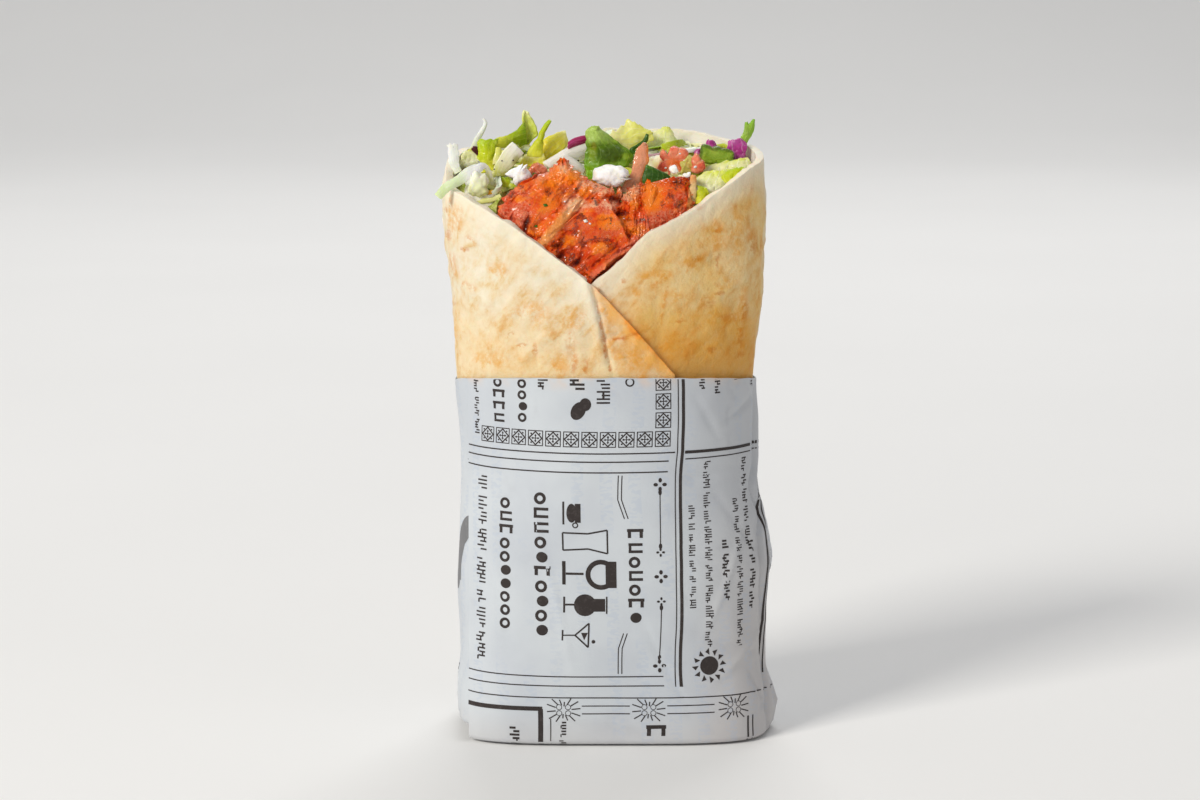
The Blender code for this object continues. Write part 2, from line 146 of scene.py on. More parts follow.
def off_line(x, z, x0, z0, x1, z1):
    """Distance from a straight crease, and how far along it from 0 to 1."""
    wide, high = x1 - x0, z1 - z0
    on = min(1, max(0, ((x - x0) * wide + (z - z0) * high) / (wide**2 + high**2)))
    return math.hypot(x - x0 - on * wide, z - z0 - on * high), on


@functools.lru_cache(maxsize=None)
def section(height):
    return curve_through(ROLL_SECTIONS, height)


def on_roll(angle, height, out=0):
    """Point of the roll's outer surface, moved out. The angle runs from the back over the left."""
    centre, half_width, half_depth, squareness = section(height)
    sine, cosine = math.sin(math.radians(angle)), math.cos(math.radians(angle))
    reach = (abs(sine) ** squareness + abs(cosine) ** squareness) ** (-1 / squareness)
    return Vector((centre - (half_width + out) * reach * sine, (half_depth + out) * reach * cosine, height))


def girth_table():
    """Distance round the roll from the back, for each whole degree up to the sheet's end."""
    table = [0]
    for degree in range(int(max(OUTER_END, -INNER_END)) + 2):
        step = on_roll(degree + 1, GIRTH_HEIGHT) - on_roll(degree, GIRTH_HEIGHT)
        table.append(table[-1] + step.length)
    return table


GIRTH = girth_table()


@functools.lru_cache(maxsize=None)
def rim_height(angle):
    whole = int(abs(angle))
    girth = GIRTH[whole] + (abs(angle) - whole) * (GIRTH[whole + 1] - GIRTH[whole])
    drop, = curve_through(LEFT_RIM if angle > 0 else RIGHT_RIM, girth)
    return max(RIM_BACK_Z - drop, PAPER_TOP + RIM_OVER_PAPER)


def filling_inset(angle):
    """Depth from the roll's surface to the filling, which both flaps squeeze at the front."""
    under_left = ease(INNER_END + 360 - 14, INNER_END + 360, angle)
    under_right = ease(LAP_START, LAP_FULL, -angle)
    return BREAD_THICK + 0.6 + LAP * max(under_left, under_right)


# -------- modelling by hand

def alone(piece):
    """Only this piece is selected, and it is the active one."""
    bpy.ops.object.select_all(action="DESELECT")
    piece.select_set(True)
    bpy.context.view_layer.objects.active = piece
    return piece


def edit(on):
    bpy.ops.object.mode_set(mode="EDIT" if on else "OBJECT")


def primitive(shape, name, **options):
    bpy.ops.object.select_all(action="DESELECT")
    getattr(bpy.ops.mesh, f"primitive_{shape}_add")(**options)
    piece = bpy.context.object
    piece.name = piece.data.name = name
    return piece


def modify(piece, kind, **settings):
    """Adds a modifier and applies it."""
    alone(piece)
    modifier = piece.modifiers.new(kind.lower(), kind)
    for setting, value in settings.items():
        setattr(modifier, setting, value)
    bpy.ops.object.modifier_apply(modifier=modifier.name)
    return piece


def sheet_grid(name, columns, rows, place):
    """A grid laid by place(across, along), which both run from 0 to 1."""
    piece = primitive("grid", name, x_subdivisions=columns, y_subdivisions=rows, size=1)
    for vertex in piece.data.vertices:
        vertex.co = place(vertex.co.x + 0.5, vertex.co.y + 0.5)
    return piece


def join(name, pieces):
    bpy.ops.object.select_all(action="DESELECT")
    for piece in pieces:
        piece.select_set(True)
    bpy.context.view_layer.objects.active = pieces[0]
    if len(pieces) > 1:
        bpy.ops.object.join()
    pieces[0].name = pieces[0].data.name = name
    return pieces[0]


def outwards(piece):
    """Faces of a closed shape turned outwards."""
    alone(piece)
    edit(True)
    bpy.ops.mesh.select_all(action="SELECT")
    bpy.ops.mesh.remove_doubles(threshold=0.0005)
    bpy.ops.mesh.normals_make_consistent(inside=False)
    edit(False)
    return piece


def settle(piece, finish, slot, *nodes, smooth=55):
    """Brings a finished piece to metres at the part's origin, gives it its finish and attaches it to the body, hiding
    the nodes it stands for. The slot is not used.
    """
    piece.data.transform(piece.matrix_world)
    piece.matrix_world = Matrix.Identity(4)
    piece.data.transform(Matrix.Scale(MM, 4) @ Matrix.Translation(-MIDDLE))
    piece.data.materials.clear()
    piece.data.materials.append(finish)
    alone(piece)
    bpy.ops.object.shade_smooth_by_angle(angle=math.radians(smooth))
    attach(piece, BODY)
    if nodes:
        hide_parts(*nodes)
    return piece


# -------- shader nodes as expressions

def colour(red, green, blue):
    """A colour as a screen shows it, 0 to 255, in the shader's linear values."""
    return tuple(((c / 255 + 0.055) / 1.055) ** 2.4 for c in (red, green, blue)) + (1,)


class Value:
    """A socket of a finish. Arithmetic on it adds Math nodes."""

    def __init__(self, finish, socket):
        self.finish, self.socket = finish, socket

    def __add__(self, other):
        return self.finish.maths("ADD", self, other)

    def __sub__(self, other):
        return self.finish.maths("SUBTRACT", self, other)

    def __rsub__(self, other):
        return self.finish.maths("SUBTRACT", other, self)

    def __mul__(self, other):
        return self.finish.maths("MULTIPLY", self, other)

    def __truediv__(self, other):
        return self.finish.maths("DIVIDE", self, other)

    def __abs__(self):
        return self.finish.maths("ABSOLUTE", self)

    __radd__ = __add__
    __rmul__ = __mul__


SOCKETS = dict(gloss="Specular IOR Level", clear="Subsurface Weight", depth="Subsurface Scale",
               spread="Subsurface Radius", coat="Coat Roughness", rough="Roughness")


class Finish:
    """A material, made node by node. Its patterns are laid out in the tables' millimetres."""

    def __init__(self, name, **constants):
        self.material = bpy.data.materials.new(name)
        self.material.use_nodes = True
        self.tree = self.material.node_tree
        self.shader = self.tree.nodes["Principled BSDF"]
        for constant, value in constants.items():
            self.shader.inputs[SOCKETS[constant]].default_value = value
        place = self.node("TexCoord", output="Object")
        self.place = self.node(
            "Mapping", {"vector_type": "POINT"},
            {"Vector": place, "Location": tuple(MIDDLE), "Scale": (1 / MM, 1 / MM, 1 / MM)},
        )

    def node(self, kind, settings=None, inputs=None, output=0):
        made = self.tree.nodes.new("ShaderNode" + kind)
        for setting, value in (settings or {}).items():
            if setting == "stops":
                elements = made.color_ramp.elements
                while len(elements) < len(value):
                    elements.new(1)
                for element, (at, shade) in zip(elements, value):
                    element.position, element.color = at, shade
            else:
                setattr(made, setting, value)
        for socket, value in (inputs or {}).items():
            if isinstance(value, Value):
                self.tree.links.new(value.socket, made.inputs[socket])
            else:
                made.inputs[socket].default_value = value
        return Value(self, made.outputs[output])

    def maths(self, operation, *values):
        return self.node("Math", {"operation": operation}, dict(enumerate(values)))

    def least(self, one, other):
        return self.maths("MINIMUM", one, other)

    def most(self, one, other):
        return self.maths("MAXIMUM", one, other)

    def axes(self):
        """x, y and z of the place, in millimetres."""
        parts = self.node("SeparateXYZ", None, {0: self.place})
        return parts, Value(self, parts.socket.node.outputs[1]), Value(self, parts.socket.node.outputs[2])

    def rise(self, value, start, end):
        """0 below start, 1 above end, smooth between. Start may be above end."""
        return self.node(
            "MapRange", {"interpolation_type": "SMOOTHSTEP"},
            {"Value": value, "From Min": start, "From Max": end},
        )

    def noise(self, per_mm, detail=2, roughness=0.5, longer=(1, 1, 1), warp=0, lean=0):
        """Cloudy noise, 0.5 in the middle: features a millimetre, and how much longer along an axis that may lean."""
        place = self.place
        if longer != (1, 1, 1):
            place = self.node("Mapping", {"vector_type": "TEXTURE"},
                              {"Vector": place, "Scale": longer, "Rotation": (0, math.radians(lean), 0)})
        return self.node(
            "TexNoise", None,
            {"Vector": place, "Scale": per_mm, "Detail": detail, "Roughness": roughness, "Distortion": warp},
        )

    def mix(self, share, start, end):
        """Colours mixed by a share from 0 to 1. Each is a value, or three numbers for colour()."""
        start, end = (shade if isinstance(shade, Value) else colour(*shade) for shade in (start, end))
        return self.node("Mix", {"data_type": "RGBA"}, {0: share, 6: start, 7: end}, 2)

    def over(self, base, *layers):
        """Lays colours over base, one after another, each by its share."""
        for share, shade in layers:
            base = self.mix(share, base, shade)
        return base

    def most_of(self, masks):
        return functools.reduce(self.most, masks)

    def spot(self, x, z, middle, size):
        """1 in the middle of an ellipse seen from the front, falling to 0 at its edge."""
        across = (x - middle[0]) / size[0]
        up = (z - middle[1]) / size[1]
        return self.rise(across * across + up * up, 1, 0)

    def marks(self, x, z, table, reach):
        """Spots of a table of x, z, half width and half height, each made larger by reach."""
        return self.most_of(self.spot(x, z, row[:2], (row[2] * reach, row[3] * reach)) for row in table)

    def along(self, x, z, x0, z0, x1, z1, width):
        """1 on the line from x0, z0 to x1, z1, seen from the front, falling to 0 at width from it."""
        length = math.hypot(x1 - x0, z1 - z0)
        way_x, way_z = (x1 - x0) / length, (z1 - z0) / length
        x, z = x - x0, z - z0
        ahead = self.least(self.most(x * way_x + z * way_z, 0), length)
        off_x, off_z = x - ahead * way_x, z - ahead * way_z
        return self.rise(self.maths("SQRT", off_x * off_x + off_z * off_z), width, 0)

    def wear(self, base, roughness=None, height=None, strength=0.5, depth=0.3, coat=None):
        """Links what varies to the shader. Depth is the bump's real depth in millimetres."""
        for socket, value in (("Base Color", base), ("Roughness", roughness), ("Coat Weight", coat)):
            if isinstance(value, Value):
                self.tree.links.new(value.socket, self.shader.inputs[socket])
            elif value is not None:
                self.shader.inputs[socket].default_value = value
        if height is not None:
            bump = self.node("Bump", None, {"Strength": strength, "Distance": depth * MM, "Height": height})
            self.tree.links.new(bump.socket, self.shader.inputs["Normal"])
        return self.material


def own_map(paint, name="cut"):
    """Across and along a piece, from its own map."""
    place = paint.node("UVMap", {"uv_map": name})
    parts = paint.node("SeparateXYZ", None, {0: place})
    return parts, Value(paint, parts.socket.node.outputs[1])


# -------- flatbread

BREAD_COLUMNS = 400
BREAD_ROWS_HIDDEN = 8
BREAD_ROWS = 104
PLEAT = ((121.5, -2.4), (114, -0.4), (107.3, 1), (102, 2), (97, 3.2))  # the left flap's crease: height, x
FOLDS = (  # narrow ridges and furrows of the front: from x, height, to x, height, width, how far out
    (17.9, 121.6, 16.6, 116.8, 0.5, 0.5), (16.6, 116.8, 15.5, 107.5, 0.5, 0.45), (18.6, 121, 16.4, 108, 1, -0.35),
    (20.5, 132, 9.5, 122, 1.1, -0.55), (18.5, 133.5, 26, 127.5, 1.4, 0.45), (26, 131, 35, 124, 1.6, -0.5),
    (38.5, 117, 33, 102, 1, -0.5), (36, 116, 29.5, 104, 1.4, 0.4), (33.5, 112, 26, 106, 1.2, -0.4),
    (1, 107.6, 10.4, 108.9, 0.8, -0.5), (2.6, 104, 13.5, 99, 1.2, 0.3), (-17, 106, -16.4, 100, 0.6, -0.3),
    (-7, 105, -6.4, 98.5, 0.8, -0.3), (-37, 120, -24, 114.5, 2, 0.35), (-30, 136, -14, 124, 2.4, 0.3),
)
GOLD_MARKS = (  # toasted patches: x, height, half width, half height
    (-17, 114.5, 4.6, 3), (-6, 113, 2.6, 3), (-37.5, 137.5, 2.4, 4), (-26, 125, 3, 1.8), (19, 118.5, 3.6, 1.6),
    (30, 133.5, 3.4, 4), (36, 134.5, 2.4, 7), (24.5, 127, 4, 2.6), (14, 124, 5, 1.4), (31, 112, 4.4, 3.2),
    (29, 104.5, 4.6, 3), (37, 108, 2.4, 9), (19, 105, 3.4, 4.4), (8, 103, 4.4, 3.4), (-28, 101, 5, 2),
    (-38.5, 107, 1.4, 5), (9.8, 119.5, 1.4, 1.2), (-10, 101, 2.4, 3.6), (2, 115, 2.4, 3.6), (33.5, 121.5, 2.8, 1.8),
)
BROWN_MARKS = (  # darker, redder ones
    (-39.6, 132.5, 0.8, 1.7), (-35.2, 129.4, 1.5, 0.6), (-40.2, 139, 0.7, 0.8), (-40.3, 122, 1, 3),
    (-38.6, 114, 0.6, 0.6), (40.3, 130.3, 1, 2.4), (31, 135, 0.9, 0.8), (25.6, 127.8, 1.4, 0.5),
    (30.6, 126.8, 0.6, 1.9), (31.4, 118.4, 1.3, 0.7), (28.5, 115.6, 1.2, 0.9), (38, 113, 0.7, 3),
    (36.8, 106.5, 0.6, 4), (33, 111.8, 2.2, 1), (36.8, 101.6, 1.4, 1), (29.2, 103.8, 1.2, 0.9), (24.8, 141.2, 2, 1),
    (-23, 108.2, 0.7, 0.5), (-20, 105.6, 1.2, 0.4), (-16.7, 104.4, 0.6, 1.8), (-6.6, 101.2, 0.9, 2.4),
    (-3.4, 100.4, 0.6, 2), (10.6, 136, 0.5, 0.9), (6, 122.2, 0.8, 0.8), (21, 111.5, 1.4, 0.5), (14.4, 101.4, 1, 0.6),
)
DIMPLES = (  # shallow dents and bulges of the front: x, height, half width, half height, depth
    (31, 126, 7, 3.2, -0.9), (22, 118, 5, 3, 0.7), (35.5, 112, 3, 9, -0.7), (26, 108, 6, 6, 0.8),
    (16, 106, 2, 10, -0.6), (12, 118, 3.6, 5, 0.5), (-26, 116, 7, 9, 0.5), (-14, 107, 4.5, 7, 0.5),
    (-33, 127, 4, 6, -0.5),
)
BREAD_CREASES = (  # brown creases of the left flap: from x, height, to x, height, half width
    (0, 112.5, 1, 107.5, 0.7), (1, 107.5, 1.6, 103.5, 0.9), (1.6, 103.5, 2.8, 99.5, 0.6), (3.4, 107.4, 6, 107.7, 0.6),
    (6, 107.7, 10, 109, 1), (-0.7, 116, 0, 112.5, 0.4), (-16.3, 106.5, -16.2, 101, 0.6), (-6.2, 104.5, -6, 99, 0.7),
)
BREAD_STREAKS = (  # and toasted streaks
    (37.8, 118.1, 37.2, 104.6, 1.3), (39, 137, 39.6, 131, 1.5), (30.3, 137, 31.4, 134.6, 0.9),
    (30.8, 131.7, 29.1, 128.1, 1.2), (35.5, 111.7, 30.3, 107.6, 1.3), (35.5, 104.6, 38.4, 103.4, 1),
    (17.5, 121.1, 15.8, 110.5, 0.5), (27.4, 117.6, 29.4, 117, 0.7), (30.3, 120.5, 32, 119.8, 0.7),
    (23, 125.5, 27.5, 128.5, 1.2), (13, 121, 18, 124, 1), (21, 106, 26, 110, 1.1), (-38.4, 127, -38, 122.3, 1.3),
    (-34.1, 132.8, -32.4, 131.1, 0.6), (-37, 136, -36.6, 134.4, 0.6), (-35.3, 120.5, -32.5, 119.3, 0.7),
    (-7.4, 109, -6.9, 102.5, 1.3), (-38.5, 143, -38.9, 140.6, 0.6),
)


def crease_x(table, height):
    """x of a crease at this height. The table runs down."""
    x, = curve_through([(-z, x) for z, x in table], -height)
    return x


def bread_relief(point, angle):
    """How far the bread stands out at a point: blisters, dents, wrinkles and the left flap's pleat."""
    relief = 0.55 * noise.noise(point * 0.075) + 0.28 * noise.noise(point * 0.21)
    relief += 0.5 * max(0, noise.noise(point * 0.33 + Vector((9, 4, 2))) - 0.1)
    leaning = Vector((point.x * 0.16 - point.z * 0.09, point.y * 0.1, point.z * 0.05 + point.x * 0.02))
    relief -= 0.56 * max(0, 0.25 - abs(noise.noise(leaning * 2.2)))
    if point.y < 0:
        for x, z, across, up, depth in DIMPLES:
            relief += depth * bell(math.hypot((point.x - x) / across, (point.z - z) / up), 0.8)
        for *line, width, out in FOLDS:
            if (point.x < line[0] + 4) == (angle > 150) or line[0] < 0:
                distance, on = off_line(point.x, point.z, *line)
                relief += out * bell(distance, width) * math.sin(math.pi * (0.15 + 0.7 * on))
    if angle > 120:
        off = point.x - crease_x(PLEAT, point.z)
        relief += -0.9 * bell(off - 0.35, 0.55) + 0.5 * bell(off + 1.1, 1.3) - 0.35 * ease(0.2, 2.5, off)
    near_paper = ease(PAPER_TOP - 2, PAPER_TOP + 7, point.z)
    return relief * near_paper + 0.15 * (1 - near_paper)


@functools.lru_cache(maxsize=None)
def bread_rim(angle):
    """Height of the rim, a little uneven."""
    uneven = 0.4 * noise.noise(Vector((angle * 0.05, 3, 0))) + 0.2 * noise.noise(Vector((angle * 0.23, 8, 0)))
    return max(rim_height(angle) + uneven, PAPER_TOP + 0.4)


def bread_place(across, along):
    angle = INNER_END + across * (OUTER_END - INNER_END)
    hidden = BREAD_ROWS_HIDDEN / (BREAD_ROWS_HIDDEN + BREAD_ROWS)
    shown_from = PAPER_TOP - 5
    if along < hidden:
        height = BREAD_FLOOR + along / hidden * (shown_from - BREAD_FLOOR)
    else:
        height = shown_from + (along - hidden) / (1 - hidden) * (bread_rim(round(angle, 4)) - shown_from)
    under = ease(LAP_START, LAP_FULL, -angle)
    relief = bread_relief(on_roll(angle, height), angle) * (1 - 0.55 * under)
    return on_roll(angle, height, relief - LAP * under)


def bread_finish():
    """Toasted dough: cream with golden clouds, brown spots, and orange oil along the flap's edge."""
    paint = Finish("toasted_flatbread", gloss=0.18, clear=0.1, depth=0.001)
    x, y, z = paint.axes()
    turned, below = own_map(paint, "edge")
    turned, below = turned * 100, below * 100
    front = paint.rise(y, 2, -6)
    right = paint.rise(x, -4, 14) * front * paint.rise(turned, 140, 120)
    low = paint.rise(z, 124, 99) * front
    clouds, patches = paint.noise(0.075, 4, 0.6), paint.noise(0.16, 5, 0.6)
    mottle, fine, specks = paint.noise(0.5, 5, 0.65), paint.noise(1.3, 4, 0.7), paint.noise(2.4, 2, 0.5)
    streaks = paint.noise(0.3, 4, 0.55, (1, 1, 3.4), 0.6, 44)
    across, up = x + (mottle - 0.5) * 4, z + (paint.noise(0.5, 5, 0.7) - 0.5) * 4
    toast = paint.least(right * 0.66 + low * 0.4 + paint.rise(clouds, 0.4, 0.7) * 0.22, 1)
    warm = patches * 0.5 + streaks * 0.5 + (mottle - 0.5) * 0.3
    edge = paint.rise(below, 9, 0.5) * (1 - paint.rise(turned, 172, 180))
    gold = paint.marks(across, up, GOLD_MARKS, 1.3) * front
    brown = paint.rise(specks, 0.68, 0.8) * paint.rise(paint.noise(0.12, 2), 0.46, 0.62)
    dark = paint.marks(across, up, BROWN_MARKS, 1.3) * front * paint.rise(fine * 0.4 + mottle, 0.46, 0.8)
    flap = paint.rise(turned, 171, 180)
    wander = x + (mottle - 0.5) * 1.6
    fold = paint.rise(wander + z * 0.31, 34.4, 36) * flap
    wide = paint.spot(x, z, (8.6, 109.4), (3.2, 4.4)) * 1.5 + paint.spot(x, z, (13.5, 103), (2.6, 4)) * 0.8
    broken = mottle * 2 + fine * 0.8
    oil = paint.rise(below - wide - broken + 1.2, 1, -1) * flap
    seep = paint.rise(below - wide * 2.2 - broken * 2, 2.4, -1.6) * flap
    at_x, at_z = wander + (fine - 0.5) * 0.8, up * 0.2 + z * 0.8
    creases = paint.most_of(paint.along(at_x, at_z, *crease) for crease in BREAD_CREASES)
    streaked = paint.most_of(paint.along(across, up, *line, width * 1.4) for *line, width in BREAD_STREAKS)
    inside = paint.rise(paint.noise(0.12, 3), 0.52, 0.7) * (1 - front) * paint.rise(x, 0, -30)
    height = patches * 0.5 + streaks * 0.5 + mottle * 0.4 + fine * 0.2
    base = paint.over(paint.mix(toast, (235, 224, 199), (236, 194, 112)),
        (paint.rise(warm, 0.44, 0.64) * 0.75, paint.mix(toast, (226, 198, 146), (226, 158, 60))),
        (paint.rise(warm, 0.56, 0.7) * 0.65, paint.mix(toast, (216, 166, 92), (206, 130, 36))),
        (paint.rise(fine, 0.52, 0.74) * (0.14 + toast * 0.3), (222, 160, 66)),
        (paint.rise(warm, 0.46, 0.34) * 0.5, paint.mix(toast, (244, 236, 214), (240, 208, 142))),
        (edge * 0.7, (243, 234, 210)), (paint.rise(z, 122, 100) * right * 0.45, (206, 130, 42)),
        (paint.rise(below, 16, 4) * (1 - front) * 0.8, (243, 239, 229)),
        (gold * paint.rise(mottle + fine * 0.4, 0.46, 0.9) * 0.65, (228, 160, 58)),
        (brown * (0.12 + toast * 0.3), (200, 126, 44)), (dark * 0.6, (204, 120, 28)),
        (fold * (0.35 + paint.rise(warm, 0.4, 0.6) * 0.4), (230, 160, 66)), (seep * 0.5, (250, 186, 92)),
        (oil * (0.4 + mottle * 0.6), (246, 146, 30)),
        (creases * flap * paint.rise(mottle, 0.3, 0.6) * 0.75, (200, 108, 26)),
        (streaked * front * paint.rise(mottle, 0.3, 0.62) * 0.5, (218, 138, 34)),
        (paint.rise(below, 1.4, 0.1) * (1 - flap) * 0.6, (243, 234, 212)), (inside * 0.4, (244, 196, 124)))
    return paint.wear(base, 0.5 + fine * 0.2 - oil * 0.2, height, 0.6, 0.9)


def make_flatbread():
    bread = sheet_grid("flatbread_roll", BREAD_COLUMNS, BREAD_ROWS_HIDDEN + BREAD_ROWS, bread_place)
    edge = bread.data.uv_layers[0]
    edge.name = "edge"
    for loop, corner in zip(bread.data.loops, edge.data):
        angle = INNER_END + corner.uv.x * (OUTER_END - INNER_END)
        below = bread_rim(round(angle, 4)) - bread.data.vertices[loop.vertex_index].co.z
        corner.uv = (angle / 100, below / 100)
    middle = min(bread.data.polygons, key=lambda face: (face.center - Vector((0, 26, 100))).length)
    if middle.normal.y < 0:
        bread.data.flip_normals()
    modify(bread, "SOLIDIFY", thickness=BREAD_THICK, offset=-1)
    modify(bread, "BEVEL", width=0.65, segments=2, limit_method="ANGLE", angle_limit=math.radians(60))
    return settle(bread, bread_finish(), "flatbread", "flatbread")


# -------- paper wrapper

SHEET_STEP = 0.5  # spacing of the table that turns a distance along the sheet into an angle
SHEET_FROM, SHEET_TO = -20, 250
PAPER_FOOT = -20  # below 0 the sheet turns under the base
PAPER_ROWS = 118
VIEW_SLOPE = 0.158  # the photograph's camera looks down by this much
FOLD = ((97.5, 86.4), (77, 86.5), (72, 86.2), (66, 84), (59.6, 86.6), (53, 84.6), (16, 85.2), (0, 86))
PAPER_CREASES = (  # straight creases: from a run and height, to a run and height, depth
    (72, 84, 86, 91, -0.5), (62, 70.5, 80, 72.5, -0.3), (64, 28, 80, 60, 0.35), (60, 52, 74, 44, -0.35),
    (70, 66, 84, 48, -0.4), (36, 7, 58, 2, 0.3), (78, 18, 86, 3, -0.6), (-10, 74.5, -1, 72.5, -0.4),
    (24, 8, 40, 1, -0.25), (96, 60, 104, 20, 0.7), (30, 94, 52, 86, 0.3), (63, 92, 72, 79, -0.35),
    (62, 30, 84, 22, -0.4), (66, 16, 86, 30, 0.4), (20, 70, 30, 20, 0.25), (48, 34, 60, 8, -0.3),
    (4, 60, 14, 28, -0.25), (120, 90, 150, 60, -0.4), (150, 30, 190, 44, 0.4),
)


def paper_edge_angle(height):
    """Where the outer layer's cut edge stands at this height."""
    centre, half_width, _, squareness = section(height)
    across = (centre - PAPER_EDGE_X) / half_width
    forward = (1 - across**squareness) ** (1 / squareness)
    return 180 - math.degrees(math.atan2(across, forward))


def sheet_angles():
    """For each millimetre of height, the angle at every step along the sheet from its cut edge."""
    rows = []
    for height in range(int(PAPER_TOP) + 2):
        start = paper_edge_angle(float(height))
        angles = np.arange(start - 40, start + 420, 1)
        points = np.array([on_roll(a, float(height), PAPER_OUT) for a in angles])
        run = np.concatenate([[0], np.cumsum(np.linalg.norm(np.diff(points, axis=0), axis=1))])
        run -= np.interp(start, angles, run)
        rows.append(np.interp(SHEET_RUNS, run, angles))
    return np.array(rows)


SHEET_RUNS = np.arange(SHEET_FROM, SHEET_TO, SHEET_STEP)
SHEET_ANGLES = sheet_angles()
SHEET_MEAN = SHEET_ANGLES[10:90].mean(axis=0)
SHEET_TURN = float(np.interp(paper_edge_angle(50) + 360, SHEET_ANGLES[50], SHEET_RUNS))


def sheet_angle(run, height):
    """The angle round the roll at a distance along the sheet from its cut edge."""
    height = min(max(height, 0), PAPER_TOP)
    low, along = int(height), (run - SHEET_FROM) / SHEET_STEP
    step = int(along)
    up, on = height - low, along - step
    table = SHEET_ANGLES[low:low + 2, step:step + 2]
    angle = (table[0, 0] * (1 - on) + table[0, 1] * on) * (1 - up) + (table[1, 0] * (1 - on) + table[1, 1] * on) * up
    back = ease(92, 125, run) * ease(206, 180, run)
    return float(angle + (SHEET_MEAN[step] * (1 - on) + SHEET_MEAN[step + 1] * on - angle) * back)


@functools.lru_cache(maxsize=None)
def paper_top(run):
    """Height of the paper's upper edge, which dips to the sides."""
    y = on_roll(sheet_angle(run, PAPER_TOP), PAPER_TOP).y
    return PAPER_TOP - VIEW_SLOPE * (min(y, 0) + 25.6) + 1.2 * ease(0, 22, y)


def paper_relief(run, height):
    """How far the paper stands off its smooth shape: slack, crumples, creases, the fold at the right."""
    turn = math.tau * run / SHEET_TURN
    at = Vector((34 * math.cos(turn), 34 * math.sin(turn), height))
    slack = 0.45 * noise.noise(at * 0.055) + 0.14 * noise.noise(at * 0.16)
    facets = 0.26 * (0.3 - abs(noise.noise(at * 0.09 + Vector((5, 1, 7))))) * ease(50, 78, run)
    relief = slack + facets
    for *line, depth in PAPER_CREASES:
        distance, on = off_line(run, height, *line)
        if distance < 4:
            relief += depth * bell(distance, 0.9) * math.sin(math.pi * (0.1 + 0.8 * on))
    fold = crease_x(FOLD, max(height, 0))
    off = run - fold
    stiff = ease(PAPER_TOP - 1, PAPER_TOP - 14, height)
    relief += stiff * (-1.1 * bell(off, 0.9) + 0.9 * bell(off - 2.6, 1.6) + 0.25 * bell(off + 2.4, 1.8))
    relief *= ease(-1, 6, height)
    edge = ease(0, 5, run)
    return max(-0.42, relief * edge) if off < -2 or off > 6 else relief


def paper_place(run, height, lift=0):
    """A point of the paper: run along the sheet from its cut edge, and height. Below 0 it turns under."""
    angle = sheet_angle(run, height)
    step = PAPER_STEP * (1 - run / SHEET_TURN)
    if run > SHEET_TURN:
        step = -0.45 * ease(SHEET_TURN, SHEET_TURN + 3, run)
    wrapped = angle - 360 if angle > 180 else angle
    side = max(0, 1 - abs(wrapped - CORNER_ANGLE) / CORNER_SPREAD)
    level = max(height, 0)
    corner = CORNER_OUT * side * max(0, 1 - abs(level - CORNER_Z) / CORNER_HEIGHT)
    off_bread = PAPER_OUT + step + paper_relief(run, level)
    if run > SHEET_TURN - 12:
        off_bread = max(off_bread, PAPER_CLEAR)
    out = off_bread + corner + lift
    tip = INNER_TIP * ease(SHEET_TURN - 34, SHEET_TURN - 22, run) * max(0, 1 - level / 24)
    if height >= 1.2:
        point = on_roll(angle, height, out)
        point.z += tip
        return point
    bend = min(1, (1.2 - height) / 2.4)
    under = max(0, -1.2 - height)
    inset = 1.1 * (1 - math.cos(bend * math.pi / 2)) + under
    point = on_roll(angle, 0, out - inset)
    point.z = 1.2 * (1 - math.sin(bend * math.pi / 2)) + 0.12 + tip
    return point


def paper_finish():
    """Cool white greaseproof paper: print faint through it, grease at the top, grey blotches, and painted shade that
    greys the right side.
    """
    paint = Finish("greaseproof_paper", rough=0.5, gloss=0.4)
    x, y, z = paint.axes()
    clouds = paint.noise(0.035, 3, 0.5)
    fibre = paint.noise(1.1, 3, 0.6)
    # Grey blotches, deeper on the right where they add to the painted shade there.
    grey_blotches = paint.rise(paint.noise(0.11, 3, 0.6), 0.56, 0.72)
    front = paint.rise(y, 4, -6)
    # Painted shade: right greys the paper towards its right side, where less light falls.
    right = paint.rise(x, 12, 42) * front
    warm = paint.rise(x, 22, 40) * paint.rise(z, 70, 20) + paint.rise(z, 12, 0) * 0.7
    run, up = own_map(paint, "sheet")  # in tenths of a metre
    rows = paint.rise(abs(paint.maths("FRACT", run * 100 / 7.4) - 0.5), 0.24, 0.2)
    words = paint.node("CombineXYZ", None, {0: run * 50, 1: up * 110})
    words = paint.rise(paint.node("TexNoise", None, {"Vector": words, "Scale": 1, "Detail": 1}), 0.46, 0.56)
    ghost = rows * words * paint.rise(paint.noise(0.05, 1), 0.42, 0.6)
    grease = paint.rise(z, 93, 97.8) * front * paint.rise(paint.noise(0.16, 2), 0.42, 0.66)
    height = fibre * 0.25 + clouds * 0.4
    base = paint.over(paint.mix(paint.rise(clouds, 0.35, 0.65), (207, 212, 216), (197, 202, 208)),
        # right: painted shade on the right side
        (right * 0.7, (190, 190, 192)), (paint.least(warm, 1) * front * 0.5, (196, 188, 183)),
        (grey_blotches * (0.16 + right * 0.3), (176, 178, 184)), (ghost * 0.28, (178, 190, 208)),
        (grease * 0.45, (240, 196, 150)))
    return paint.wear(base, 0.42 + clouds * 0.16, height, 0.25, 0.25)


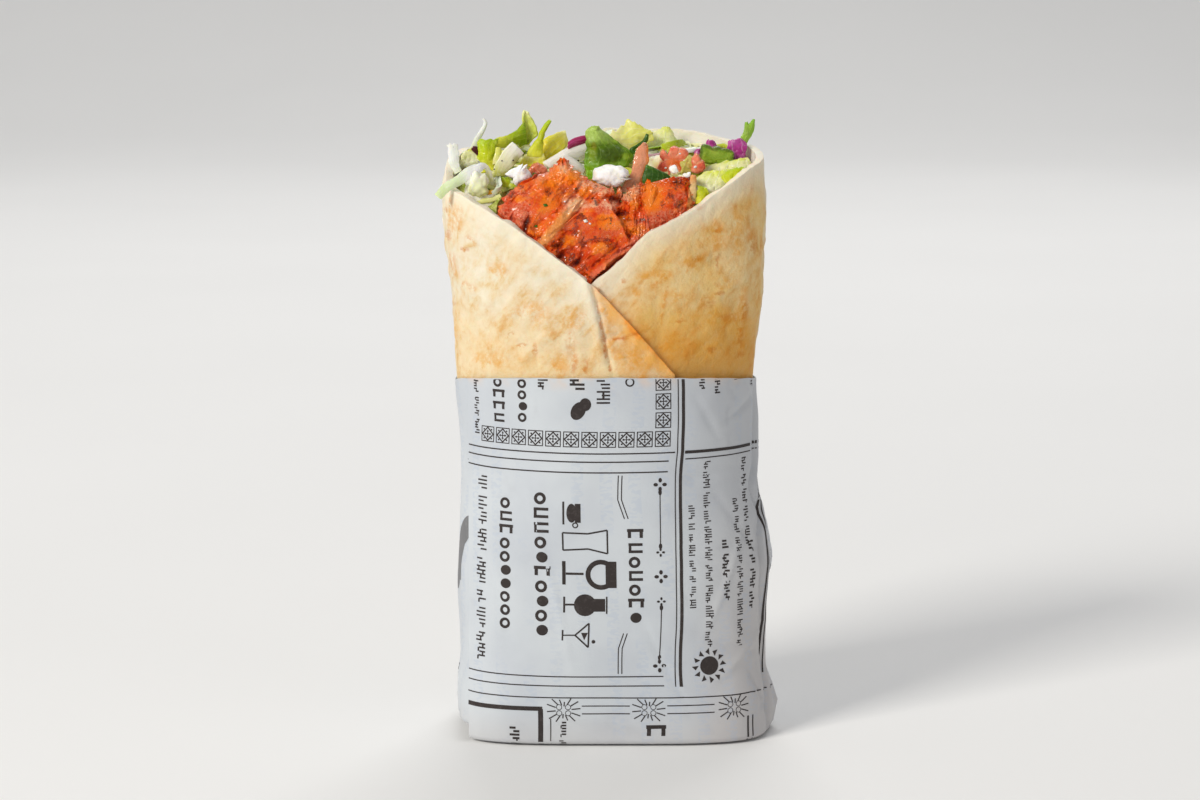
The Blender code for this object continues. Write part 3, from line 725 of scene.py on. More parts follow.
def make_paper():
    """Front and back pieces of the one sheet, which meet in the fold at the right."""
    runs = (("paper_front", 0, 92, 124), ("paper_back", 92, SHEET_TURN + PAPER_TUCK, 176))
    finish = paper_finish()
    for name, start, end, columns in runs:

        def place(across, along):
            run = start + across * (end - start)
            height = PAPER_FOOT + along * (paper_top(round(run, 3)) - PAPER_FOOT)
            ragged = 0.18 * noise.noise(Vector((run * 0.2, 7, 0))) if along > 0.99 else 0
            return paper_place(run, height + ragged)

        paper = sheet_grid(name, columns, PAPER_ROWS, place)
        layer = paper.data.uv_layers[0]
        layer.name = "OFBake"
        scaled = paper.data.uv_layers.new(name="sheet")
        for corner, source in zip(scaled.data, layer.data):
            height = PAPER_FOOT + source.uv.y * (PAPER_TOP - PAPER_FOOT)
            corner.uv = ((start + source.uv.x * (end - start)) / 100, height / 100)
        face = paper.data.polygons[len(paper.data.polygons) // 2]
        if face.normal.dot(face.center - Vector((2, 0, face.center.z))) < 0:
            paper.data.flip_normals()
        modify(paper, "SOLIDIFY", thickness=PAPER_THICK, offset=-1)
        settle(paper, finish, "paper", "paper", smooth=70)


# -------- print on the paper

INK_LIFT = 0.05
FIRST_RAY = math.degrees(0.1)
LEAN_HEIGHT, LEAN = 78, 0.045  # the print leans along the sheet away from this height


def beside(x, y, reach, turn):
    """The place at this reach from (x, y), at a turn in degrees."""
    return x + reach * math.cos(math.radians(turn)), y + reach * math.sin(math.radians(turn))


class Ink:
    """Flat shapes laid out along (x) and up (y) the sheet, in millimetres, then carried onto the paper."""

    def __init__(self, name):
        self.sheet = primitive("plane", name, size=1)
        edit(True)
        bpy.ops.mesh.delete(type="VERT")

    def put(self, x, y, wide, high, turn):
        """Stretches the shape just added round the middle, turns it and moves it to its place."""
        bpy.ops.transform.resize(value=(wide, high, 1), center_override=(0, 0, 0))
        if turn:
            bpy.ops.transform.rotate(value=-math.radians(turn), orient_axis="Z", center_override=(0, 0, 0))
        bpy.ops.transform.translate(value=(x, y, 0))
        bpy.ops.mesh.select_all(action="DESELECT")

    def bar(self, x, y, wide, high, turn=0):
        """A rectangle round (x, y), cut up so that it can bend."""
        cuts = [max(1, math.ceil(size / 1.6)) for size in (wide, high)]
        bpy.ops.mesh.primitive_grid_add(x_subdivisions=cuts[0], y_subdivisions=cuts[1], size=1)
        self.put(x, y, wide, high, turn)

    def disc(self, x, y, wide, high=None, turn=0, corners=14):
        """A filled ellipse. A large one is cut up too."""
        bpy.ops.mesh.primitive_circle_add(vertices=corners, radius=0.5, fill_type="TRIFAN")
        if wide > 2:
            bpy.ops.mesh.subdivide(number_cuts=2)
        self.put(x, y, wide, high or wide, turn)

    def ring(self, x, y, wide, line, corners=20):
        bpy.ops.mesh.primitive_circle_add(vertices=corners, radius=0.5)
        bpy.ops.mesh.extrude_edges_move()
        share = (wide - 2 * line) / wide
        bpy.ops.transform.resize(value=(share, share, 1), center_override=(0, 0, 0))
        bpy.ops.mesh.select_linked()
        self.put(x, y, wide, wide, 0)

    def line(self, x0, y0, x1, y1, wide):
        length = math.hypot(x1 - x0, y1 - y0)
        self.bar((x0 + x1) / 2, (y0 + y1) / 2, length, wide, math.degrees(math.atan2(y1 - y0, x1 - x0)))

    def tile(self, x, y, size=3.9):
        """A square border tile: a frame, a diamond and a small cross."""
        half, line = size / 2, 0.24
        for shift in (-half, half):
            self.bar(x + shift, y, line, size + line)
            self.bar(x, y + shift, size - line, line)
        for turn in (0, 90, 180, 270):
            self.bar(*beside(x, y, half * 0.6336, turn + 45), 0.34, half * 1.28, turn + 45)
            self.disc(*beside(x, y, half * 0.8584, turn + 45), 0.5, corners=6)
            self.disc(*beside(x, y, half * 0.36, turn + 90), 0.62, 0.4, turn, 8)
        self.bar(x, y, 0.22, half * 1.1)
        self.bar(x, y, half * 1.1, 0.22)

    def petals(self, x, y, size):
        """Four petals round a bare middle."""
        for turn in (0, 90, 180, 270):
            self.disc(*beside(x, y, size * 0.32, turn), size * 0.34, size * 0.26, turn, 10)

    def sun(self, x, y, radius):
        self.disc(x, y, radius * 1.02, corners=32)
        for k in range(12):
            turn = 30 * k + FIRST_RAY
            self.disc(*beside(x, y, radius * 0.78, turn), radius * 0.44, radius * 0.3, turn, 3)

    def rosette(self, x, y, wide, high):
        for k in range(14):
            turn = 360 * k / 14 + FIRST_RAY
            reach = (abs(math.cos(math.radians(turn))) * wide + abs(math.sin(math.radians(turn))) * high) / 2
            self.line(*beside(x, y, 0.45 * reach, turn), *beside(x, y, 0.95 * reach, turn), 0.3)
        for side, up in ((-1, 1), (-1, -1), (1, 1), (1, -1)):
            self.ring(x + side * wide * 0.13, y + up * high * 0.22, high * 0.42, 0.16, 12)

    def strokes(self, x, top, bottom, wide, weight, seed, gap=0.34):
        """A column of small upright marks in groups, which stands for lines of text."""
        draw = random.Random(seed)
        y, step = top, weight + gap
        while y > bottom:
            for _ in range(draw.randint(3, 7)):
                length = wide * draw.choice((0.62, 0.62, 0.7, 1))
                shift = (wide - length) / 2 * draw.choice((-1, 1))
                self.bar(x + shift, y, length, weight)
                if draw.random() < 0.45:
                    self.bar(x + draw.choice((-0.24, 0.24, 0)) * wide, y - step / 2, wide * 0.16, step)
                y -= step
            y -= step * 1.4

    def blocks(self, x, top, bottom, wide, seed):
        """A column of bold plain shapes: bars, discs and half frames in turn."""
        draw = random.Random(seed)
        y = top
        while y - wide * 0.8 > bottom:
            kind = draw.choice(("disc", "ring", "bars", "frame", "ring"))
            high = wide * 0.72
            if kind == "disc":
                self.disc(x, y - high / 2, wide * 0.7, high * 0.9, corners=18)
            elif kind == "ring":
                self.ring(x - wide * 0.08, y - high / 2, high, high * 0.26, 18)
            elif kind == "bars":
                for share in (0.16, 0.78):
                    self.bar(x, y - high * share, wide * 0.86, high * 0.24)
                self.bar(x - wide * 0.34, y - high * 0.47, wide * 0.16, high * 0.5)
            else:
                self.bar(x, y - high * 0.15, wide, high * 0.26)
                self.bar(x + wide * 0.36, y - high * 0.5, wide * 0.2, high * 0.6)
                self.bar(x - wide * 0.36, y - high * 0.5, wide * 0.2, high * 0.6)
            y -= high * 1.22

    def carry(self, finish):
        """Brings the flat shapes onto the paper."""
        edit(False)
        for vertex in self.sheet.data.vertices:
            x, y = vertex.co.x, vertex.co.y
            run = x - LEAN * abs(LEAN_HEIGHT - y)
            vertex.co = paper_place(run, min(y, paper_top(round(run, 2)) - 0.25), INK_LIFT)
        for face in self.sheet.data.polygons:
            if face.normal.dot(face.center - Vector((2, 0, face.center.z))) < 0:
                face.flip()
        return settle(self.sheet, finish, "paper")


def ink_finish(name, shade):
    paint = Finish(name, rough=0.55, gloss=0.3)
    rubbed = paint.rise(paint.noise(0.9, 3, 0.7), 0.5, 0.72)
    base = paint.mix(rubbed * 0.3, shade, [min(255, c + 46) for c in shade])
    return paint.wear(base, 0.5 + rubbed * 0.2)


PRINT = {  # each kind of mark, by where it lies along the sheet and up it
    "line": (
        (0.4, 77.7, 58.5, 77.7, 0.34), (0.4, 75.5, 57, 75.5, 0.34), (0.4, 72.7, 57, 72.7, 0.34),
        (61.2, 77.6, 96, 77.2, 0.8), (61.5, 75.8, 96, 75.6, 0.3), (44.2, 72, 44.2, 65.6, 0.26),
        (44.2, 65.6, 45.9, 60.6, 0.26), (45.5, 30.2, 44.3, 26.2, 0.26), (44.3, 26.2, 44.3, 19.4, 0.26),
        (45.15, 72, 45.15, 65.6, 0.26), (45.15, 65.6, 46.85, 60.6, 0.26), (46.45, 30.2, 45.25, 26.2, 0.26),
        (45.25, 26.2, 45.25, 19.4, 0.26), (2.8, 18.6, 56, 18.6, 0.3), (2.8, 16.1, 56, 16.1, 0.3),
        (2.8, 13, 80, 12.8, 0.3), (80, 12.8, 99, 11, 0.3), (34.4, 10.7, 46.8, 10.7, 0.28),
        (34.4, 8.6, 46.8, 8.6, 0.28), (56.5, 10.7, 69, 10.7, 0.28), (56.5, 8.6, 69, 8.6, 0.28),
        (29.9, 52.2, 29.9, 56.8, 0.42), (29.9, 56.8, 36.4, 56.6, 0.42), (36.4, 56.6, 41.4, 57.6, 0.42),
        (41.4, 57.6, 41.4, 51.4, 0.42), (41.4, 51.4, 36.4, 52.6, 0.42), (36.4, 52.6, 29.9, 52.2, 0.42),
        (33, 29.7, 36.5, 32.9, 0.42), (36.5, 32.9, 36.5, 26.5, 0.42), (36.5, 26.5, 33, 29.7, 0.42),
        (97, 80.4, 119, 80.4, 0.34), (124, 80.4, 169, 80.4, 0.34), (97, 15.8, 119, 15.8, 0.34),
        (124, 15.8, 169, 15.8, 0.34)),
    "bar": (
        (60.5, 56.5, 0.85, 81.5), (59.1, 56.5, 0.28, 81.5), (55.1, 60.3, 0.26, 14.6), (55.1, 30.3, 0.26, 13.8),
        (13.6, 9.9, 21.2, 1.15), (23.7, 4.6, 1.3, 10.5), (26.3, 3.4, 0.26, 7.6), (78.6, 2.6, 0.55, 8.4),
        (80.3, 2.6, 0.4, 8.4), (33.9, 62, 1.5, 5), (30.2, 62, 0.5, 6), (30, 46.2, 0.9, 6.2), (32.8, 46, 4.6, 0.6),
        (42.2, 45.8, 2.8, 7), (30, 37.8, 0.5, 4.2), (31.6, 37.8, 2.8, 0.5), (38.8, 37.7, 3.6, 3.4),
        (41, 37.7, 0.4, 4.6), (29.8, 29.7, 0.42, 2.8), (31.5, 29.7, 3, 0.34), (88, 42, 0.5, 52), (88.9, 42, 0.3, 52),
        (122, 46, 0.85, 62), (120.6, 46, 0.28, 62), (171, 46, 0.85, 62), (169.6, 46, 0.28, 62)),
    "petals": (
        (55.1, 69.4, 3.6), (55.1, 45.2, 3.6), (55.1, 21.4, 3.6), (55.1, 51.6, 2.4), (55.1, 38.6, 2.4), (104, 92, 3.6),
        (114, 92, 3.6), (140, 92, 3.6), (150, 92, 3.6), (160, 92, 3.6)),
    "disc": (
        (55.1, 67.4, 0.9, 1.6), (55.1, 53.2, 0.9, 1.6), (55.1, 37, 0.9, 1.6), (55.1, 23.6, 0.9, 1.6),
        (32.3, 62, 2.6, 5, 0, 20), (35.4, 37.7, 5.8, 5.8, 0, 24), (35.4, 29.7, 2, 2.6, 180, 3),
        (37.8, 28, 1, None, 0, 10), (33.2, 88.9, 3.6, 5, -28, 24), (35, 90.6, 3, 3.4, 0, 20)),
    "sun": (
        (68.2, 21, 4.8), (178, 88, 5)),
    "rosette": (
        (29.7, 9.6, 8.8, 3.7), (51.7, 9.6, 8.8, 3.7), (74.4, 9.6, 8.8, 3.7)),
    "ring": (
        (33.2, 58.8, 1.6, 0.34, 12), (39.6, 45.8, 8, 1.25, 28), (46.4, 96.4, 2.4, 0.4, 14)),
    "blocks": (
        (24.4, 67.2, 26, 4.4, 5), (14.6, 65.2, 29, 4, 8), (48.6, 58, 30.4, 4.2, 12), (11.6, 96.8, 84.4, 3.6, 21),
        (18.6, 96.8, 84.8, 3.4, 22), (53.6, 5.6, -1.2, 5.2, 61), (114, 76, 20, 4.6, 81), (134, 76, 20, 5.2, 82),
        (143, 76, 20, 4.4, 83), (163, 76, 20, 4.8, 84), (192, 90, 20, 5, 85)),
    "strokes": (
        (6.9, 70, 22.4, 3.2, 0.42, 3, 0.6), (24, 96.8, 93.2, 2.6, 0.5, 31), (32.9, 96.9, 93, 3.8, 0.6, 32, 0.5),
        (39.6, 96.8, 92.2, 3.4, 0.45, 33, 0.5), (4.2, 96.6, 84.4, 1.7, 0.36, 34), (63.5, 63.4, 37.4, 1.7, 0.3, 41),
        (68, 74.6, 27.8, 2, 0.3, 42), (72.9, 53.6, 37, 1.9, 0.5, 43), (77.2, 64, 24, 1.9, 0.3, 44),
        (80.9, 74.2, 55, 1.8, 0.36, 45), (81.6, 52.4, 34, 1.9, 0.5, 46), (65.8, 97, 93.5, 1.6, 0.4, 47),
        (70.4, 97, 91.8, 1.7, 0.4, 48), (77, 97, 94, 1.6, 0.4, 49), (84.6, 97, 92.5, 1.6, 0.4, 50),
        (16.9, 4.6, -0.6, 2.6, 0.6, 51), (29.4, 6.2, -0.6, 1.8, 0.45, 52)),
}
TILE_STEP = 4.72


def make_print():
    ink = Ink("print_black")
    for kind, marks in PRINT.items():
        for mark in marks:
            getattr(ink, kind)(*mark)
    for k, x in enumerate((96, 101.5, 107, 127, 151, 156.5, 178, 184)):
        ink.strokes(x, 76, 20, 2.2, 0.36, 71 + k, 0.42)
    for k in range(11):
        ink.tile(7.9 + TILE_STEP * k, 81.4)
    for k in range(1, 4):
        ink.tile(55.1, 81.4 + 4.9 * k)
    for k in range(10):
        ink.tile(98 + TILE_STEP * k + (2.4 if k > 4 else 0), 84)
        ink.tile(148 + TILE_STEP * k + (2.4 if k > 4 else 0), 12)
    ink.carry(ink_finish("print_ink", (52, 45, 43)))

    strip = SHEET_TURN
    grey = Ink("print_grey")
    grey.disc(strip - 4.6, 54, 7.5, 9, 0, 24)
    grey.bar(strip - 5.2, 47, 6.2, 13)
    grey.disc(strip - 6, 40.6, 4.4, 6, 0, 18)
    grey.carry(ink_finish("print_grey_ink", (118, 118, 120)))

    edge = Ink("print_edge")
    edge.disc(strip - 6.4, 89.5, 6.6, 9.5, 8, 22)
    edge.line(strip - 12, 73.4, strip + 1, 75.2, 0.3)
    for k in range(4):
        edge.petals(strip - 4.5 + 1.9 * (k % 2), 70.8 - 1.6 * (k // 2), 1.5)
    edge.strokes(strip + 0.6, 16.6, 7.4, 2, 0.7, 91, 0.9)
    for x, y in ((strip + 1, 6), (strip - 0.8, 3.4), (strip + 1.6, 1.6), (strip - 2.2, 0.4)):
        edge.rosette(x, y, 2.4, 2.4)
    edge.carry(ink_finish("print_edge_ink", (62, 56, 54)))


# -------- food: how a cut or a lump is shaped

# Each leaf, strip and slice: y at its root, at its tip, how much deeper its right edge is, and the corner x, z that
# its two edges are measured from. Then, from root to tip, four numbers at a time: left x, z and right x, z
CUTS = {
    "strand_forked": (-2, -1, 0.4, -41, 147, 2.9, 0.7, 4.7, 1.7, 1.9, 2.7, 4.2, 2.7, 1.4, 4.9, 3.9, 4.8,
        1.2, 6.7, 3.7, 7, 0.8, 8.7, 3.5, 8.9),
    "strand_pointed": (6.6, 7, 0.3, -35, 152, 0, 0.8, 2.2, 0.6, 0.9, 2.7, 2.6, 2.6, 1.8, 4.6, 3.4, 4.6,
        3.1, 6.6, 4.3, 6.4, 4.1, 8.1, 4.9, 8.1, 4.3, 8.9, 4.8, 9, 3.9, 10, 4, 9.9),
    "cabbage_bit": (4, 4.6, 0.5, -34, 152, 0, 2.1, 0.4, 2.5, 0.6, 1.3, 1.5, 2.4, 1.3, 0.6, 2.2, 1.5,
        1.8, 0.1, 2.4, 0.2),
    "lettuce_frill": (1, 3.4, 1.2, -33, 148, 3.8, 0.7, 4.8, 0.6, 1.8, 2.5, 5.3, 2.4, 0.6, 3.8, 5.7, 3.8,
        1.3, 5.3, 5.3, 5.2, 0.7, 7.3, 5.5, 6.8, 1.2, 8.6, 6.3, 8.8),
    "lettuce_lobe": (4.5, 8.2, 0.6, -28, 154, 0.5, 0.5, 0.6, 2.8, 2.5, 0.3, 2.9, 3.2, 4.2, 0.8, 4.5, 3.9,
        5.6, 1.1, 6.1, 4.9, 7, 0.7, 7.4, 6.2, 8.7, 0.9, 8, 6.6),
    "lettuce_upright": (8, 9.4, 0.4, -22, 154, 0.5, 0.3, 3, 1, 1.5, 2, 4, 2, 1.8, 4.1, 5.4, 3.4, 1.5, 6.2, 5.2, 4.8,
        1.5, 7.6, 4.6, 6.6, 1.6, 8.8, 3.5, 8.2, 2, 9.6, 2.8, 9.4),
    "cabbage_wall": (5.2, 6, 0.3, -37, 148, 0.6, 0.7, 4.4, 2.2, 0.6, 3.1, 4.9, 3.4, 1.1, 4.7, 4.2, 5,
        1.7, 5.1, 3.3, 6.2),
    "pale_tuft": (1.6, 2.4, 0.3, -29, 150, 0.7, 0, 2.3, 0.7, 1.2, 2.3, 2.9, 2.5, 1.5, 4.1, 2.8, 3.9,
        1.8, 4.6, 2.4, 4.6),
    "lettuce_rib": (-3.6, -0.6, 0.8, -29, 147, 0.7, 0.2, 3.7, 0.3, 1.2, 2.8, 4.5, 1.5, 2.3, 4.9, 5.8, 2.9,
        3.9, 7.4, 7.5, 4.7, 6, 9.3, 8.7, 6.5),
    "strand_draped": (-12.6, -4, 0.2, -43, 140, 0.1, 3.6, 1.6, 2.3, 2.1, 6.1, 3.7, 4.2, 5.3, 8, 6.8, 5.9,
        7.9, 10.1, 9.3, 7.3, 10.8, 11.2, 11.6, 8.8, 12.6, 11.3, 12.7, 10, 14.1, 9.9, 13.2, 9.4, 15, 7.6, 14, 7.4,
        15.6, 4.4, 14.6, 4.4, 15.8, 0.5, 14.8, 1),
    "cabbage_low": (-9.5, -8, 0, -36, 138, 3.7, 2.3, 8.4, 0.9, 1.2, 4.6, 8.4, 2.6, 0.6, 6.6, 7.5, 4.4,
        1.5, 7.6, 7.1, 6.1),
    "carrot_bit": (-9, -8.6, 0, -30, 141, 1, 0.5, 1.9, 0.5, 0.8, 2, 2.1, 2.1, 0.9, 3.3, 2, 3.4),
    "lime_stub": (-4.5, -3, 0.6, -28, 141, 1.2, 0.3, 3.1, 1.1, 0.8, 2.6, 4.4, 2.2, 0.7, 4.4, 5.3, 3.6,
        0.8, 5.6, 5.4, 4.6, 1.7, 6.1, 3.8, 6.1),
    "lime_fleck": (0.5, 1.2, 0, -32, 148, 0.5, 0.2, 2.3, 0.2, 0.8, 0.8, 2.1, 0.9, 1.7, 1.3, 2.1, 1.2),
    "pale_strip": (-7.5, -5.5, 0, -26, 139, 0.3, 0.1, 1.7, 0.2, 1.2, 2.5, 2.4, 2.7, 1.7, 4.4, 3.1, 4.6),
    "lettuce_blade": (3.4, 6, 0.4, -20, 151, 0.5, 1, 4.9, 0.9, 0.8, 1.9, 4.8, 2.5, 2.1, 4.1, 4.9, 4.3,
        3.5, 5.7, 5, 5.8, 4.2, 7.5, 5.6, 7.7, 5.3, 9.4, 6.5, 9.2, 6.5, 10.8, 6.7, 10.6),
    "lettuce_fan": (7, 10, 0.6, -17, 149, 2.5, 0.6, 0.5, 3.4, 4.9, 2.4, 1.9, 6.8, 6.8, 3.6, 3.7, 8.1, 8, 5.2, 6, 9,
        8.5, 6.5, 7.9, 9.3),
    "yellow_leaf": (2, 4, 0.5, -22, 149, 0.9, 0.7, 7.6, 0.6, 1.1, 1.8, 7.6, 1.8, 2.1, 3.5, 7.1, 3.9),
    "onion_white": (2.4, 5.6, 0, -15, 149, 2, 0, 0, 1, 4, 0.7, 3, 2.8, 6.4, 1.9, 6.4, 4.9, 8.8, 1.8, 8.8, 5.9,
        11.5, 3.2, 11.5, 6.6),
    "onion_skin": (3.2, 5, 0, -9, 154, 0.5, 0.2, 0.5, 1.6, 2.4, 0.9, 2, 2.7, 4, 1.3, 4, 3.3, 5.5, 1.7, 5.5, 3.5),
    "onion_inner": (-0.5, 1, 0, -12, 147, 0.6, 2.9, 2.2, 5.9, 3.4, 2.6, 4.7, 4.7, 5.9, 1.8, 6.3, 3.3,
        7.5, 0.9, 8, 2.2),
    "leaf_dark": (-2.4, 2.4, 1.4, -5, 146, 2.7, 0, 8.1, 0.5, 1.3, 2, 10.7, 3.1, 0.9, 4.7, 12.6, 4.3,
        1.1, 7.1, 13.9, 6.7, 1.4, 9, 11.6, 8.6, 1.3, 11.4, 8, 11.2, 1.4, 13, 5.7, 12.7, 2.6, 14.3, 4.3, 14.1),
    "chive": (-9, -8.6, 0, -19, 146, 0.2, 0.5, 0.5, 0.3, 1.2, 1.6, 2.3, 1.7, 1.8, 2.9, 2.3, 2.7),
    "lettuce_pale": (8.6, 10, 0.8, 2, 153, 0.6, 3.4, 0.2, 4.2, 3.4, 1.2, 2.4, 5.4, 6.2, 0, 4.2, 6.6,
        8.4, 0.2, 6.4, 8.3, 10.4, 1.8, 7.6, 7.4, 12.4, 3.6, 9.2, 6.3, 12.8, 4.8, 10.4, 5.4),
    "lettuce_back": (12, 15, 0, 11, 150, 0.8, 0.5, 13.2, 0.5, 1, 3.6, 12.6, 3, 1.8, 6.2, 10.6, 4.6, 4, 7.9, 8.8, 6.9,
        6.4, 9.2, 7.6, 8.9),
    "onion_sliver": (6.4, 6.9, 0, 12, 151, 0.6, 0.4, 0.7, 1.3, 2.2, 0.7, 2.5, 1.4, 4.1, 1, 4.5, 1.8,
        5.5, 1.5, 5.6, 2.2),
    "herb_stem": (0.4, 1.4, 0, 7, 153, 1.7, 0.2, 2.7, 0, 0.9, 1.1, 2, 1.2, 3.4, 2.7, 4, 2.4, 4.7, 4, 5.3, 3.3,
        5.3, 5.3, 5.6, 5.1),
    "herb_leaf": (-8.6, -7.2, 0.6, 11, 145, 0, 0.4, 6, 0.6, 0.1, 2.8, 7.4, 2, 0.8, 5.2, 6.8, 3, 1.2, 5.8, 2.6, 5),
    "meat_strip": (-8.2, -4.8, 0.4, 5, 142, 0.2, 0.8, 1.8, 0.3, 0.5, 2.9, 5.1, 3, 1.9, 4.7, 6.1, 5, 3.3, 7.1, 6.8, 7.3,
        3.8, 9.9, 7.6, 10.1, 4.6, 12.5, 7.3, 12.8, 6.5, 14.3, 6.8, 14.1),
    "curl_left": (7.4, 8.2, 0, 27, 153, 0.9, 0.3, 3.8, 0.3, 1.1, 1.6, 3.9, 1, 1.4, 2.6, 3.4, 2.2, 1.8, 3, 2.6, 2.8),
    "curl_low": (3, 3.6, 0, 25, 152, 0.2, 0.3, 1.5, 0.3, 0.1, 1.1, 1.5, 1.6, 0.7, 1.8, 1.5, 2.1),
    "curl_right": (3.4, 5.4, 0.8, 33, 149, 4.2, 0.1, 4.9, 0.1, 2.2, 1.6, 5.2, 2.4, 1, 3.6, 5.5, 4.4,
        0.4, 5.5, 5.6, 6.2, 1.2, 7.2, 4.4, 7.6),
    "leaf_tip": (7.6, 8.6, 0.3, 37, 154, 0.3, 1.4, 1.4, 0.3, 0.2, 2.5, 1.9, 1.4, 1.1, 4.4, 3.2, 3.5,
        1.9, 5.7, 3.8, 5.1, 2.8, 6.5, 3.8, 6.6, 3.5, 7.4, 3.7, 7.5),
    "leaf_fork": (7.9, 8.5, 0.2, 38, 157, 0, 0.5, 1.6, 0.5, 0.3, 2.3, 1.7, 2.1, 0.5, 3.7, 0.8, 3.8),
    "berg_back": (-3, 0, 0.6, 26, 145, 0.6, 0.6, 13.8, 1.6, 1.2, 3, 13.9, 4.2, 2.2, 4.6, 13.6, 6.2, 5, 5.3, 12.8, 7.2),
    "berg_front": (-9.5, -6, 0.8, 24, 141, 1, 0.9, 6.7, 2.7, 0.8, 4.2, 11, 5, 1.4, 6.6, 12.7, 7, 3.8, 8, 10.6, 8.6),
    "lime_curl": (-11, -9, 0.6, 31, 145, 2.2, 0.4, 6, 2.4, 0.8, 2.4, 7, 3.8, 1.6, 3.8, 6.9, 4.8, 4, 4.9, 6, 5.3),
    "lime_low": (-13, -10.5, 0.5, 24, 141, 0.8, 0, 2.4, 0.4, 0.9, 1.9, 4, 2.2, 1.1, 3.7, 3.7, 3.7, 1, 4.7, 2.2, 4.4),
    "rind_right": (-12.6, -11.6, 0, 22, 139, 0.7, 0.3, 2.7, 1.2, 0.9, 3.2, 2.8, 3.2, 1.5, 6.3, 2.8, 6.3,
        1.7, 9.7, 2.7, 9.5),
    "slice_left": (-21, -9.5, 0, -29, 127, 7, 0.5, 17, 1.5, 3.5, 3.5, 17.8, 4.2, 0.5, 6.6, 20, 6.8, 0.4, 9.8, 22.2, 10,
        3, 13.4, 27.2, 12.6, 4.9, 16.6, 30.8, 15.2, 8.8, 19.2, 33, 17.5, 12.8, 21, 28.6, 19.3, 16.2, 23, 23.8, 21.9,
        18.4, 25.2, 20.2, 25.3),
    "slice_centre": (-24, -9.5, 0, -15, 119, 7, 0.9, 21, 0.9, 4, 3.9, 26, 3.6, 1.5, 7.1, 31, 7, 0.5, 10.4, 34, 10.1,
        4, 13.7, 33, 13, 6.5, 17, 28.5, 16.2, 8.5, 20, 24, 19.2, 11, 22.7, 22.2, 21.6, 13, 24.5, 21.6, 23.9,
        14.3, 26, 21, 25.4),
    "slice_right": (-17.5, -11, 0.5, 5, 132, 4.5, 0.4, 13, 0.4, 2, 3.4, 17.5, 3.4, 0.9, 6.4, 19.5, 6.4,
        0.6, 9.1, 19.2, 9, 1.4, 11.4, 18.9, 11.6, 3.2, 13, 18.8, 13.9, 6.2, 14.2, 18.8, 15.4, 12.2, 15.3, 18.6, 16.7),
}

# Lumps: y of the middle, the corner x, z, and from it the outline seen from the front, as x, z, x, z ...
OUTLINES = {
    "cheese_large": (-8.6, -2, 145, 0.3, 2, 0.6, 3.6, 1.1, 4.8, 2.7, 5.4, 4.7, 5.7, 7.5, 5.5, 8.9, 4.6, 9.9, 3.2,
        10, 2.2, 8.7, 2.1, 8.1, 2.8, 7.5, 1.4, 6.5, 0.2, 4.7, 0.5, 3.1, 1, 1.3, 1.5),
    "cheese_left": (-9, -25, 145, 0.2, 3.6, 1.2, 4.2, 2.3, 5.2, 3.5, 5.4, 4.6, 5.2, 4.9, 6.1, 6.1, 6.2, 5.8, 5,
        6.9, 2.8, 6.4, 1.8, 4.9, 1.3, 3.5, 0.9, 2.8, 1.8, 2.4, 2.7, 1.2, 3.1),
    "cheese_right": (-10.5, 18, 149, 0.2, 1.2, 1, 1.8, 2, 1, 2.4, 0.4, 1.6, 0.1, 0.6, 0.4),
    "cheese_crumb": (-11.2, 21, 147, 0.4, 1.6, 1.4, 2, 2.5, 2.2, 2.4, 1.6, 1.5, 0.8, 0.6, 1),
    "tomato_front": (0.6, 14, 146, 1.9, 7.6, 2.7, 8.2, 3.4, 7.2, 3.8, 6.7, 4.1, 7.4, 4.5, 8.7, 5.7, 9, 6.7, 8.7,
        8.4, 8.4, 9.3, 7.3, 8.8, 5.6, 7.6, 4.1, 7.4, 1.9, 6.3, 1.5, 5.6, 3.4, 4.6, 3, 4.2, 0.6, 2.7, 0.4, 0.9, 1.4,
        1.2, 3.8, 2.6, 5.3, 1.7, 6.3),
    "tomato_side": (-4.2, 24, 148, 1.1, 5.6, 2.3, 4.1, 3.5, 1.9, 2.2, 0.6, 0.1, 0.6, 0.2, 2.5, 0.3, 4.6),
    "pepper_piece": (2.4, 26, 150, 1.2, 5.5, 2.6, 5.3, 3.6, 4.6, 6.1, 4.3, 8.8, 3.5, 9.2, 3.1, 9, 1.5, 10.2, 1,
        8.3, 0.3, 4.6, 0.7, 2.1, 0.4, 0.1, 1.5, 0.4, 3.1),
    "meat_bit": (-3.4, -19, 146, 0.5, 3.9, 1.7, 4.8, 3.5, 4.8, 4.5, 4.1, 5.1, 2.9, 4.7, 1.7, 3.5, 0.9, 1.8, 1.3,
        0.4, 2.1, 0, 3.3),
    "seed_mass": (-1.6, 21, 148, 1.4, 3.9, 2, 4.7, 3, 4.7, 3.5, 3.3, 3.3, 1.7, 3, 0.1, 1.8, 0, 0.3, 0.1, 0.5, 1.7),
    "pale_cube": (3.6, 12, 147, 0.8, 5, 2.4, 5.2, 4.2, 5.1, 4.3, 3.3, 4.1, 0.6, 2.4, 0.4, 1.1, 0.6, 0.7, 3.3),
    "cabbage_blob": (-8.5, -35, 141, 1.4, 7.9, 2.8, 8.4, 3.9, 7.6, 5.4, 8, 5.9, 5.9, 5.1, 4.2, 6.1, 2.2, 4.4, 1.9,
        3.4, 0.9, 1.6, 1.9, 0.4, 3.9, 1.1, 5.3),
}


def roll_angle(point):
    """Angle round the roll, from the back over the left."""
    centre, half_width, half_depth, _ = section(round(min(point.z, 162), 1))
    return math.degrees(math.atan2((centre - point.x) / half_width, point.y / half_depth))


